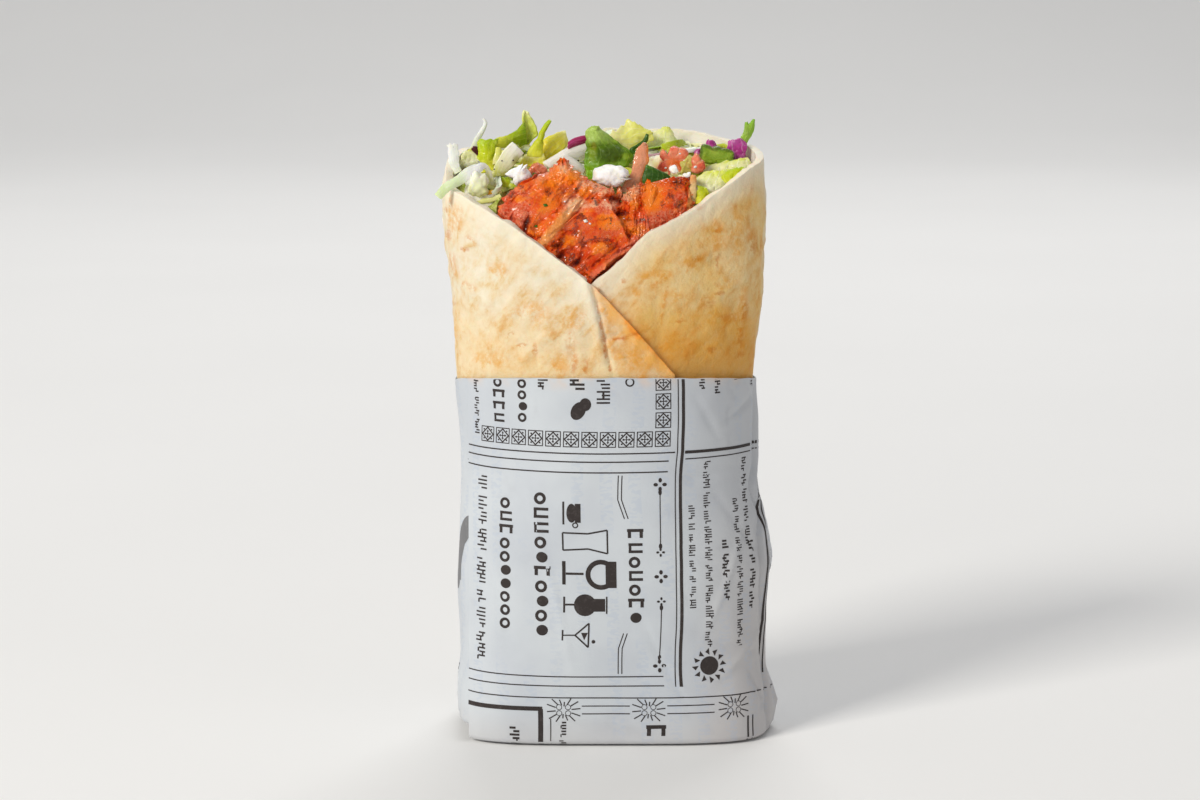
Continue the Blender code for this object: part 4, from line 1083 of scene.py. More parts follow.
def edge_height(angle):
    """Height of the higher rim at this angle, for both flaps count where they lap."""
    angle = round(angle)
    heights = [rim_height(angle)]
    if angle <= OUTER_END - 360:
        heights.append(rim_height(angle + 360))
    if angle >= INNER_END + 360:
        heights.append(rim_height(angle - 360))
    return max(heights)


def room_inset(angle, height):
    """Depth to the filling. Above the inner flap's rim only the outer flap takes up room."""
    if angle > 0 and height > rim_height(max(round(angle) - 360, INNER_END)) + 1:
        return BREAD_THICK + 0.5
    return filling_inset(angle)


def keep_inside(piece, spare=0.2):
    """Draws in what would come through the bread. Over the rim a piece may lean out again."""
    for vertex in piece.data.vertices:
        point = vertex.co
        angle = roll_angle(point)
        over = point.z - edge_height(angle)
        if over < 4:
            height = min(max(point.z, 0), 162)
            centre = Vector((section(round(height, 1))[0], 0, point.z))
            inset = room_inset(angle, height) + spare - 6 * ease(0.2, 4, over)
            limit = on_roll(angle, round(height, 1), -inset)
            limit.z = point.z
            reach = (limit - centre).length
            off = (point - centre).length
            if off > reach:
                vertex.co = centre + (point - centre) * (reach / off)
    return piece


def lumps(point, sizes):
    """Noise of several sizes, given as (height, features a millimetre)."""
    total = 0
    for k, (height, per_mm) in enumerate(sizes):
        total += height * noise.noise(point * per_mm + Vector((17 * k, 5 * k, 3)))
    return total


def cut_sheet(name, cut, columns, rows, bulge=0, roll=0, lumpy=(), ragged=0, ripple=0, seed=0, raised=1):
    """A sheet between the two edges of its cut: bowed to the front, rolled back or uneven."""
    front, deepest, deeper, x, z, *edges = CUTS[cut]
    rows_of_four = zip(*(iter(edges),) * 4)
    table = [(k, x + row[0], z + row[1], x + row[2], z + row[3]) for k, row in enumerate(rows_of_four)]
    last = len(table) - 1
    offset = Vector((seed * 7.1, seed * 3.3, seed))
    relief = []

    def place(across, along):
        left_x, left_z, right_x, right_z = curve_through(table, along * last)
        y = front + (deepest - front) * along
        left, right = Vector((left_x, y, left_z)), Vector((right_x, y + deeper, right_z))
        side, end = 2 * across - 1, 2 * along - 1
        span = right - left
        facing = Vector((0, -1, 0))
        facing = (facing - span * (facing.dot(span) / max(span.length_squared, 1e-6))).normalized()
        point = left + span * across
        point = point + span.normalized() * (ragged * side * abs(side) * noise.noise(point * 0.9 + offset))
        point.z += ragged * 1.6 * noise.noise(Vector((across * 5, seed, 2))) * max(0, end) ** 8
        out = bulge * (1 - side * side) - roll * (0.3 * abs(side) ** 8 + max(0, end) ** 10)
        stands = lumps(point + offset, lumpy) + folds(FOLDS_ON.get(cut[:5], ()), point.x, point.z)
        if cut.startswith("slice"):
            stands += meat_strings(point.x, point.z)
        relief.append(stands)
        out += stands * raised
        out += ripple * side * side * math.sin(along * last * 1.9 + seed * 2 + (1.4 if side > 0 else 0))
        return point + facing * out

    piece = sheet_grid(name, columns, rows, place)
    piece.data.attributes.new("relief", "FLOAT", "POINT").data.foreach_set("value", relief)
    piece.data.uv_layers[0].name = "cut"
    middle = piece.data.polygons[columns * (rows // 2) + columns // 2]
    if middle.normal.y > 0:
        piece.data.flip_normals()
    return piece


def leaf(name, cut, thick=0.6, columns=14, rows=44, **shape):
    """A thin cut with soft edges."""
    piece = cut_sheet(name, cut, columns, rows, **shape)
    modify(piece, "SOLIDIFY", thickness=thick, offset=0)
    modify(piece, "SUBSURF", levels=1, render_levels=1)
    return piece


def slab(name, cut, thick=1.2, columns=140, rows=140, **shape):
    """A thick cut that rolls back at its edges. Its folds stand out from where it fits in the bread."""
    piece = keep_inside(cut_sheet(name, cut, columns, rows, raised=0, **shape), 1.6)
    for vertex, stands in zip(piece.data.vertices, piece.data.attributes["relief"].data):
        vertex.co.y -= min(stands.value * 1.3, 1.4)
    modify(piece, "SOLIDIFY", thickness=thick, offset=-1)
    return keep_inside(piece)


def lump(name, outline, depth, lumpy, square, fine):
    """A lump with its traced outline from the front, and as deep to either side as depth."""
    y, corner_x, corner_z, *points = OUTLINES[outline]
    points = [(corner_x + x, corner_z + z) for x, z in zip(points[::2], points[1::2])]
    middle = Vector((sum(p[0] for p in points) / len(points), y, sum(p[1] for p in points) / len(points)))
    spokes = [(x - middle.x, z - middle.z) for x, z in points]
    turns, reaches = zip(*sorted((math.atan2(z, x), math.hypot(z, x)) for x, z in spokes))
    piece = primitive("ico_sphere", name, subdivisions=fine, radius=1)
    for vertex in piece.data.vertices:
        way = vertex.co.normalized()
        turn = math.atan2(way.z, way.x)
        flat = math.hypot(way.x, way.z) ** square
        reach = float(np.interp(turn, turns, reaches, period=math.tau)) * flat
        deep = math.copysign(abs(way.y) ** square, way.y) * depth
        vertex.co = middle + Vector((math.cos(turn) * reach, deep, math.sin(turn) * reach))
        vertex.co += way * lumps(vertex.co, lumpy)
    return piece


def core_of(name, *nodes, voxel=1.2, draw_in=0.5, lumpy=()):
    """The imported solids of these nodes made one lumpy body, a little smaller."""
    copies = []
    for node in nodes:
        copy = frame["nodes"][node].copy()
        copy.data = copy.data.copy()
        copy.animation_data_clear()
        copy.parent = None
        for key in list(copy.keys()):
            del copy[key]
        bpy.context.scene.collection.objects.link(copy)
        copy.data.transform(Matrix.Translation(MIDDLE) @ Matrix.Scale(1 / MM, 4))
        copies.append(copy)
    piece = outwards(join(name, copies))
    modify(piece, "REMESH", mode="VOXEL", voxel_size=voxel)
    modify(piece, "DISPLACE", strength=-draw_in, mid_level=0)
    for vertex in piece.data.vertices:
        vertex.co += vertex.normal * lumps(vertex.co, lumpy)
        vertex.co.z = max(vertex.co.z, FILLING_FLOOR)
    return keep_inside(piece)


# -------- food: finishes

def peppered(paint, base, share=0.9, per_mm=0.55, size=0.16):
    """Dark ground pepper on some of the cells of a fine grain."""
    cell = paint.node("TexVoronoi", {"feature": "F1"}, {"Vector": paint.place, "Scale": per_mm})
    tone = paint.node("SeparateXYZ", None, {0: Value(paint, cell.socket.node.outputs["Color"])})
    grains = paint.rise(cell, size, size * 0.5) * paint.rise(tone, 0.7, 0.74)
    return paint.mix(grains * share, base, (54, 44, 30))


def leaf_finish(name, root, body, tip, vein, veins=0.5, pepper=0, rough=0.42, clear=0.25, lines=5, zones=()):
    """A leaf or strip: pale at its root, with veins and a wet gloss. Zones are seen from the front; some paint light
    and shade.
    """
    paint = Finish(name, rough=rough, gloss=0.28, clear=clear, depth=0.0008, spread=(0.8, 1, 0.5), coat=0.15)
    across, along = own_map(paint)
    clouds = paint.noise(0.2, 3, 0.55)
    fine = paint.noise(1.1, 3, 0.6)
    drift = (clouds - 0.5) * 0.7
    spread = abs(paint.maths("FRACT", across * lines + drift * 1.4) - 0.5)
    line = paint.rise(spread, 0.1, 0)
    base = paint.over(paint.mix(paint.rise(along + drift, 0.05, 0.5), root, body),
        (paint.rise(along + drift, 0.55, 1), tip), (line * veins, vein), (paint.rise(fine, 0.5, 0.72) * 0.3, vein),
        (paint.rise(clouds, 0.48, 0.3) * 0.3, (int(c * 0.82) for c in body)))
    if zones:
        x, _, z = paint.axes()
        for middle, size, share, shade in zones:
            zone = paint.spot(x + drift * 1.6, z + (fine - 0.5) * 1.4, middle, size)
            base = paint.mix(zone * share, base, shade)
    if pepper:
        base = peppered(paint, base, pepper)
    height = clouds * 0.7 + fine * 0.35 + line * 0.3
    return paint.wear(base, rough - 0.12 + fine * 0.3, height, 0.6, 0.35, paint.rise(fine, 0.52, 0.66) * 0.5)


# Marks on the meat: x, height, half width, half height
MEAT_PINK = (
    (-21.8, 140.4, 3.9, 4.6), (-21.4, 135.8, 3.2, 2.5), (1.4, 140.4, 2.5, 1.8), (16.8, 137.5, 6.3, 2.5),
    (11.5, 136.1, 2.5, 2.1), (-15.9, 149.1, 2.5, 1.8), (21, 141.5, 2.1, 2.8), (-24.2, 139.4, 1.4, 2.8),
)
# Pale fat, and painted highlights where the wet meat shines
MEAT_PALE = (
    (-6.4, 141.3, 3.2, 2.1), (1, 145.2, 3.2, 1.4), (-9.2, 150.4, 1.8, 1.4), (6.6, 143.6, 2.1, 1.8),
    (9.1, 145.2, 1.8, 1.8), (-4.3, 146.5, 1.8, 1.4), (2.8, 141.3, 2.1, 1.3), (-1.5, 141.6, 2.1, 0.9),
)
# Charred spots, and painted shade in the crevices and under the lobes
MEAT_CHAR_AND_SHADE = (
    (-4.6, 138.1, 2.1, 0.9), (-6.3, 136.8, 1.3, 0.8), (-4.2, 131.7, 1.6, 1.1), (-1.8, 132.7, 1.5, 0.6),
    (1, 132.3, 2.1, 0.6), (2.9, 131.7, 0.8, 1.1), (-7, 127.6, 1.4, 2.1), (-11.2, 130.7, 1.8, 1.5),
    (-9.8, 128.8, 1.8, 1.4), (-13.8, 144.6, 1.4, 1.1), (20, 146.5, 1.8, 1.8), (18.2, 143.5, 1.4, 1.5),
    (20.6, 141.5, 1.4, 1.8), (21.7, 147.2, 1.8, 0.7), (5.9, 138.7, 1.5, 0.9), (-20.5, 145.8, 0.8, 0.6),
    (-17.5, 133.3, 0.8, 0.6), (1.7, 137.8, 2.1, 0.5), (-6.3, 134.9, 1.4, 1.4), (10.8, 137.1, 2.1, 0.6),
    (16.1, 141.5, 0.8, 1.1), (-22.9, 143.9, 1.1, 0.8), (-9.1, 126.6, 1.4, 0.8), (-5.9, 144.9, 0.8, 0.7),
    (-4.2, 125.4, 0.8, 1.4), (-0.8, 142, 1.1, 0.7),
)
MEAT_OIL = (
    (-3.6, 144.9, 2.1, 1.8), (-7.8, 148.5, 2.8, 2.1), (-12, 147.2, 3.2, 1.4), (13.3, 142.8, 2.5, 3.9),
    (1.4, 138.4, 2.5, 0.9), (-8.1, 132.3, 2.1, 1.4), (-16.8, 135.5, 2.1, 1.8), (10.1, 134.8, 2.5, 1.3),
    (0.3, 130.4, 2.5, 1.2), (2.1, 136.2, 3.2, 1.4), (-13.4, 141.3, 2.1, 2.1), (8.4, 142.8, 1.4, 2.5),
    (-9.2, 138.7, 1.4, 1.4), (-20.8, 142.6, 2.1, 0.8), (5.6, 136.8, 2.1, 1.1),
)
FOLDS_ON = {  # ridges and furrows by the cuts' names: from x, height, to x, height, width, how far out
    "leaf_": (
        (1.1, 157.4, 8.6, 152.4, 0.7, -0.9), (-1.6, 157.6, -0.6, 149, 1.2, 0.7), (5.6, 152.6, 3, 147.5, 1.6, -0.7),
        (-3, 154.6, 5.2, 155.6, 0.6, -0.5)),
    "slice": (
        (-20.1, 145.8, -14.2, 148.3, 1.6, 0.8), (-14.2, 148.3, -9.9, 150.4, 1.8, 0.9),
        (-9.9, 150.4, -4.3, 147.3, 1.6, 0.8), (-23.1, 143.6, -24.9, 139.1, 1.3, 0.5),
        (-17.2, 141.3, -20.7, 133.6, 0.9, -0.8), (-12, 142, -16.8, 134.9, 0.8, -0.6),
        (-13.3, 133.6, -6.4, 137.5, 0.7, -0.9), (-7.1, 140.7, -15.4, 131.4, 1.6, 1),
        (-4.2, 136.2, -9.1, 131.7, 0.9, 0.7), (-6.3, 134.9, -9.8, 131.1, 0.6, -1.1),
        (-7.7, 131.7, -12.2, 128.5, 0.9, 0.7), (-9.1, 129.8, -11.2, 127.2, 0.6, -1),
        (-2.1, 133, 3.1, 132, 0.5, -1.3), (-1.4, 131.7, 1.7, 131.1, 1.1, 0.8), (-4.2, 132, -2.8, 133, 0.7, -1.3),
        (-0, 136.2, 11.8, 134.8, 1.5, 0.9), (2.7, 134.2, -2.8, 128.5, 0.9, 0.6),
        (12.5, 133.1, 1.3, 127.6, 0.6, -0.9), (-4.2, 128.5, -7, 125.4, 0.7, -0.8),
        (6.3, 139.1, 2.1, 137.8, 0.7, -1.4), (2.1, 137.8, -2.2, 138.7, 0.6, -0.9),
        (2.1, 143.6, -2.2, 141.3, 0.8, 0.6), (7.7, 136.1, 6.6, 139.4, 0.9, -0.9),
        (9.8, 144.8, 8.4, 138.8, 1.1, 0.8), (11.9, 145.5, 10.8, 139.8, 0.7, -0.6),
        (14.7, 146.2, 12.6, 140.1, 1, 0.9), (17.2, 145.2, 15.7, 140.8, 0.7, -0.6),
        (20, 147.2, 17.8, 142.1, 0.9, -0.9), (21.7, 144.8, 19.6, 138.8, 1.1, 0.7),
        (23.5, 146.2, 22.7, 140.1, 0.8, 0.5),
        (-1.8, 123.3, 11.4, 133.7, 1, 0.9), (1.5, 123.8, 12.6, 132.2, 0.6, -0.9), (-2.6, 125.4, 9.4, 134.9, 0.5, -0.8),
        (-18, 146.6, -13, 141, 0.8, -0.5), (-4, 148, -6.5, 143.5, 0.8, -0.6), (-23.5, 141.5, -19.5, 143.5, 0.6, -0.5),
        (0.5, 143.2, 7, 141.4, 0.7, -0.7), (-1, 140.2, 5, 139.6, 0.8, 0.7), (-5.5, 128.5, -8.8, 125.6, 0.6, 0.6),
    ),
}


def folds(table, x, z):
    """How far a piece stands out at a point, by its ridges and furrows."""
    out = 0
    for *line, width, high in table:
        distance, on = off_line(x, z, *line)
        if distance < width * 3:
            out += high * bell(distance, width) * math.sin(math.pi * (0.12 + 0.76 * on))
    return out


def meat_strings(x, z):
    """Strings of the meat: they run up to the right, and steeper in the right piece."""
    lean = math.radians(42 - 26 * ease(5, 12, x))
    across, along = x * math.cos(lean) - z * math.sin(lean), x * math.sin(lean) + z * math.cos(lean)
    out = 0
    for high, per_mm in ((0.75, 0.45), (0.4, 1.1)):
        out += high * (0.3 - abs(noise.noise(Vector((across * per_mm, along * per_mm * 0.3, per_mm * 31)))))
    return out


def meat_finish(name="grilled_meat", tint=None, edged=False):
    """Orange-red meat: pink flesh, oily ridges, pale glints and charred spots, each where it shows. Painted light: the
    glints, the lit hump and lighter ridges. Painted shade: the crevices, the dark arch under a lobe and the deep
    furrows, darkened like char.
    """
    paint = Finish(name, gloss=0.15, coat=0.1, clear=0.1, depth=0.001)
    x, _, z = paint.axes()
    across = x + (paint.noise(0.5, 4, 0.65) - 0.5) * 4.4
    up = z + (paint.noise(0.57, 4, 0.65) - 0.5) * 4.4
    patches, fine = paint.noise(0.3, 6, 0.68, warp=0.3), paint.noise(1.5, 5, 0.72)
    grain, fibres = paint.noise(2.8, 3, 0.65), paint.noise(0.8, 5, 0.66, (1, 1, 2.6), 0.4, 38)
    relief = paint.node("Attribute", {"attribute_name": "relief"}, output="Fac")
    pink = paint.least(paint.marks(across, up, MEAT_PINK, 1.35) * 1.5, 1) * paint.rise(patches, 0.3, 0.46)
    base = paint.over(paint.mix(paint.rise(patches, 0.3, 0.66), (226, 58, 3), (255, 108, 8)),
        (paint.rise(fibres, 0.5, 0.72) * 0.75, (255, 144, 26)), (paint.rise(fibres, 0.44, 0.3) * 0.55, (184, 34, 2)),
        # the hump: orange oil, with painted light on its lit top
        (paint.spot(across, up, (-9, 146), (9, 6)) * 0.5, (255, 126, 20)),
        (paint.spot(across, up, (-2, 130.5), (12, 8.5)) * 0.4, (190, 40, 2)),
        (pink * 0.75, paint.mix(paint.rise(fine, 0.38, 0.64), (212, 60, 24), (246, 146, 108))),
        (paint.marks(across, up, MEAT_OIL, 1.35) * paint.rise(fine, 0.24, 0.5) * 0.85, (255, 132, 8)))
    for line, shade in (
            ((-5.5, 142, -15.4, 131.4, 1.8), (255, 176, 100)), ((-1.8, 123.3, 11.4, 133.7, 1.6), (236, 116, 78)),
            ((23.8, 147, 23, 140, 0.8), (250, 170, 100))):
        smooth = paint.along(across * 0.2 + x * 0.8, up * 0.2 + z * 0.8, *line)
        base = paint.mix(paint.least(smooth * 2, 1) * 0.85, base, shade)
    # pale: fat, and painted highlights
    pale = paint.marks(across, up, MEAT_PALE, 1.3) * paint.rise(fine + patches * 0.4, 0.5, 0.84)
    char_and_shade = paint.marks(across, up, MEAT_CHAR_AND_SHADE, 1.2) * paint.rise(fine + fibres * 0.6, 0.6, 0.98)
    char_and_shade = paint.most(char_and_shade, paint.rise(patches + fine * 0.2, 0.4, 0.3) * 0.55)
    # deep furrows darkened like char: painted shade
    char_and_shade = paint.most(char_and_shade, paint.rise(relief, -0.5, -1.2) * 0.8)
    base = paint.over(base,
        # lighter orange on the ridges: oil, with painted light where they face the light
        (pale * 0.85, (255, 206, 164)), (paint.rise(relief, 0.35, 1.2) * 0.45, (255, 142, 34)),
        (paint.rise(fine, 0.57, 0.74) * 0.4, (255, 162, 80)), (paint.rise(fine, 0.42, 0.26) * 0.5, (168, 28, 3)),
        # painted shade down the furrows
        (paint.rise(relief, 0, -0.7) * 0.7, (144, 22, 3)),
        # painted highlights: small pale glints
        (paint.rise(grain, 0.6, 0.7) * paint.rise(patches, 0.4, 0.56) * 0.75, (255, 216, 176)),
        (paint.least(char_and_shade * 1.4, 1) * 0.8, (78, 12, 6)))
    if tint:
        base = paint.mix(tint[0], base, tint[1:])
        if edged:
            edge, _ = own_map(paint)
            base = paint.mix(paint.rise(edge + (fine - 0.5) * 0.3, 0.7, 0.9) * 0.85, base, (250, 138, 34))
    height = fibres * 0.6 + fine * 0.5 + grain * 0.3 + patches * 0.2
    wet = paint.rise(patches + fine, 0.92, 1.06)
    return paint.wear(base, 0.2 + fine * 0.3 + char_and_shade * 0.2, height, 0.9, 0.7, wet)


def crumble_finish():
    """White crumbly cheese with faint cream hollows."""
    paint = Finish("white_cheese", gloss=0.3, clear=0.3, depth=0.001, spread=(1, 0.95, 0.8))
    clouds, fine = paint.noise(0.5, 3, 0.5), paint.noise(1.6, 3, 0.6)
    base = paint.over(paint.mix(paint.rise(clouds, 0.3, 0.55), (248, 243, 228), (254, 253, 251)),
        (paint.rise(fine, 0.38, 0.26) * 0.25, (238, 228, 204)))
    return paint.wear(base, 0.45 + fine * 0.2, clouds * 0.6 + fine * 0.5, 0.5, 0.25)


def tomato_finish():
    """Salmon-red wet flesh, with paler walls that run to the middle, a glossy coat, and white glints painted as pale
    flecks.
    """
    paint = Finish("tomato_flesh", gloss=0.3, clear=0.2, depth=0.001, coat=0.1)
    x, _, z = paint.axes()
    clouds, fine = paint.noise(0.35, 4, 0.6), paint.noise(1.6, 3, 0.6)
    turn = paint.maths("ARCTAN2", z - 151.6, x - 19.2)
    walls = paint.rise(abs(paint.maths("SINE", turn * 3 + (clouds - 0.5) * 3)), 0.3, 0)
    glints = paint.rise(fine, 0.56, 0.66)
    base = paint.over(paint.mix(paint.rise(clouds, 0.35, 0.65), (224, 84, 56), (244, 144, 108)),
        (paint.spot(x, z, (19.4, 150.6), (2.6, 2.2)) * 0.7, (250, 116, 24)), (walls * 0.5, (252, 198, 150)),
        # painted highlights: pale pink-white flecks
        (paint.rise(fine, 0.6, 0.78) * 0.4, (255, 214, 200)))
    return paint.wear(base, 0.2 + fine * 0.2, clouds + fine * 0.4 - walls * 0.3, 0.6, 0.5, glints)


def pepper_finish():
    """Green flesh with a fine grain, and the dark skin along its upper left edges."""
    paint = Finish("green_pepper", gloss=0.25, clear=0.15, depth=0.0008)
    x, _, z = paint.axes()
    clouds, fine = paint.noise(0.4, 3, 0.6), paint.noise(2, 3, 0.7)
    edge = x * 0.16 + z + (clouds - 0.5) * 1.4
    skin = paint.most(paint.rise(edge, 158.5, 159.2), paint.rise(x + (clouds - 0.5), 27.2, 26.6))
    base = paint.over(paint.mix(paint.rise(clouds, 0.3, 0.7), (124, 158, 24), (164, 190, 60)),
        (paint.rise(fine, 0.55, 0.75) * 0.5, (196, 214, 100)), (skin * 0.7, (70, 92, 16)))
    return paint.wear(base, 0.35 + fine * 0.25, fine + clouds * 0.4, 0.7, 0.35, 0.3)


def onion_finish(name, flesh, layer, share=0.5):
    """Fleshy onion: fine lines that run along the cut, wet and a little clear."""
    paint = Finish(name, gloss=0.3, clear=0.25, depth=0.001, coat=0.15, spread=(1, 0.9, 0.8))
    across, _ = own_map(paint)
    clouds, fine = paint.noise(0.3, 3, 0.5), paint.noise(1.8, 3, 0.6)
    lines = paint.rise(abs(paint.maths("FRACT", across * 4 + (clouds - 0.5) * 1.6) - 0.5), 0.16, 0)
    base = paint.over(paint.mix(lines * share, flesh, layer),
        (paint.rise(clouds, 0.5, 0.3) * 0.3, layer),
        (paint.rise(fine, 0.62, 0.8) * 0.4, (min(255, c + 40) for c in flesh)))
    return paint.wear(base, 0.3 + fine * 0.2, fine * 0.4 + clouds * 0.4 + lines * 0.2, 0.5, 0.3, 0.5)


def shred_finish(name, stops, rough=0.45):
    """Shreds of one kind, each with its own tone."""
    paint = Finish(name, gloss=0.28, clear=0.2, depth=0.0008, coat=0.2, spread=(0.8, 1, 0.6))
    tone = paint.node("Attribute", {"attribute_name": "tone"}, output="Fac")
    across, _ = own_map(paint)
    clouds, fine = paint.noise(0.3, 3, 0.5), paint.noise(1.5, 3, 0.6)
    mixed = tone + (clouds - 0.5) * 0.5 + abs(across - 0.5) * 0.25
    base = paint.node("ValToRGB", {"stops": stops}, {"Fac": mixed})
    base = paint.over(base,
        (paint.rise(abs(across - 0.5), 0.08, 0) * 0.35, (240, 242, 216)),
        (paint.rise(fine, 0.55, 0.75) * 0.3, (250, 250, 236)))
    return paint.wear(base, rough - 0.1 + fine * 0.3, clouds * 0.5 + fine * 0.4, 0.5, 0.3, 0.25)


# -------- food: the pieces that the photograph shows

LEAF_LOOKS = (  # finish, root, body, tip, vein, share of the veins, share of the ground pepper
    ("lime_lettuce", (226, 222, 60), (196, 206, 16), (172, 198, 22), (230, 232, 104)),
    ("fresh_lettuce", (210, 212, 60), (156, 180, 10), (126, 162, 4), (206, 216, 84)),
    ("lobe_lettuce", (172, 186, 24), (206, 214, 86), (238, 238, 168), (238, 238, 176)),
    ("yellow_lettuce", (238, 214, 30), (232, 222, 66), (246, 240, 156), (252, 244, 160)),
    ("pale_lettuce", (240, 232, 164), (234, 232, 120), (226, 226, 84), (250, 248, 200)),
    ("heart_lettuce", (250, 248, 224), (240, 240, 176), (222, 228, 96), (253, 253, 236)),
    ("cream_lettuce", (246, 244, 210), (250, 246, 226), (244, 240, 190), (253, 251, 240)),
    ("white_cabbage", (240, 246, 212), (248, 250, 242), (250, 250, 240), (253, 253, 251), 0.4, 0.35),
    ("draped_cabbage", (226, 242, 180), (252, 253, 248), (244, 234, 110), (253, 253, 248), 0.4),
    ("lettuce_stalk", (204, 204, 96), (242, 238, 196), (253, 250, 236), (252, 250, 232), 0.4, 0.95),
    ("dark_green_leaf", (126, 176, 10), (96, 132, 4), (186, 210, 106), (158, 190, 60), 0.45),
    ("herb_green", (54, 100, 2), (44, 84, 2), (70, 116, 6), (104, 146, 24), 0.35),
    ("young_leaf", (158, 196, 70), (146, 190, 52), (132, 182, 40), (206, 224, 120), 0.6),
    ("purple_cabbage", (206, 104, 170), (178, 52, 136), (196, 88, 162), (240, 196, 226), 0.3),
    ("maroon_bit", (96, 26, 40), (74, 18, 30), (90, 24, 40), (140, 60, 76), 0.2),
    ("carrot", (250, 176, 44), (250, 182, 40), (252, 190, 60), (255, 214, 120), 0.3),
    ("stained_strip", (238, 214, 160), (240, 204, 140), (236, 160, 90), (250, 236, 204), 0.4),
)
LOOK_EXTRAS = {  # zones: middle, half width and height, share, shade
    # Painted shade: olive at the stalk's lower right side
    "lettuce_stalk": dict(zones=(
        ((-21.6, 151), (1.8, 2.6), 0.8, (162, 160, 36)), ((-25, 148), (2.2, 1.2), 0.5, (176, 172, 60)))),
    # Its greens, and painted light: the glossy pale patch at 4.4, 150.2 and the lit top lobe at -1.4, 158.6
    "dark_green_leaf": dict(zones=(
        ((2.6, 153), (5.4, 3.2), 0.9, (66, 88, 0)), ((-2, 153.8), (1.5, 3.2), 0.5, (134, 150, 4)),
        ((-1.4, 158.6), (3.6, 3), 0.8, (178, 204, 96)), ((4.4, 150.2), (3.2, 1.3), 0.7, (136, 172, 62)),
        ((-2.6, 147.6), (3, 2.8), 0.7, (136, 182, 4)), ((-1.6, 155.2), (1, 1.4), 0.5, (132, 112, 20)),
        ((6.9, 152.4), (1.6, 1), 0.7, (150, 178, 40)), ((3.6, 156.2), (2, 0.9), 0.6, (160, 190, 60)))),
    "young_leaf": dict(lines=3),
    "purple_cabbage": dict(clear=0.15, lines=2),
}
SOFT = ((0.35, 0.25), (0.18, 0.7), (0.16, 1.5))
CRIMPED = ((0.7, 0.22), (0.4, 0.55), (0.22, 1.3))
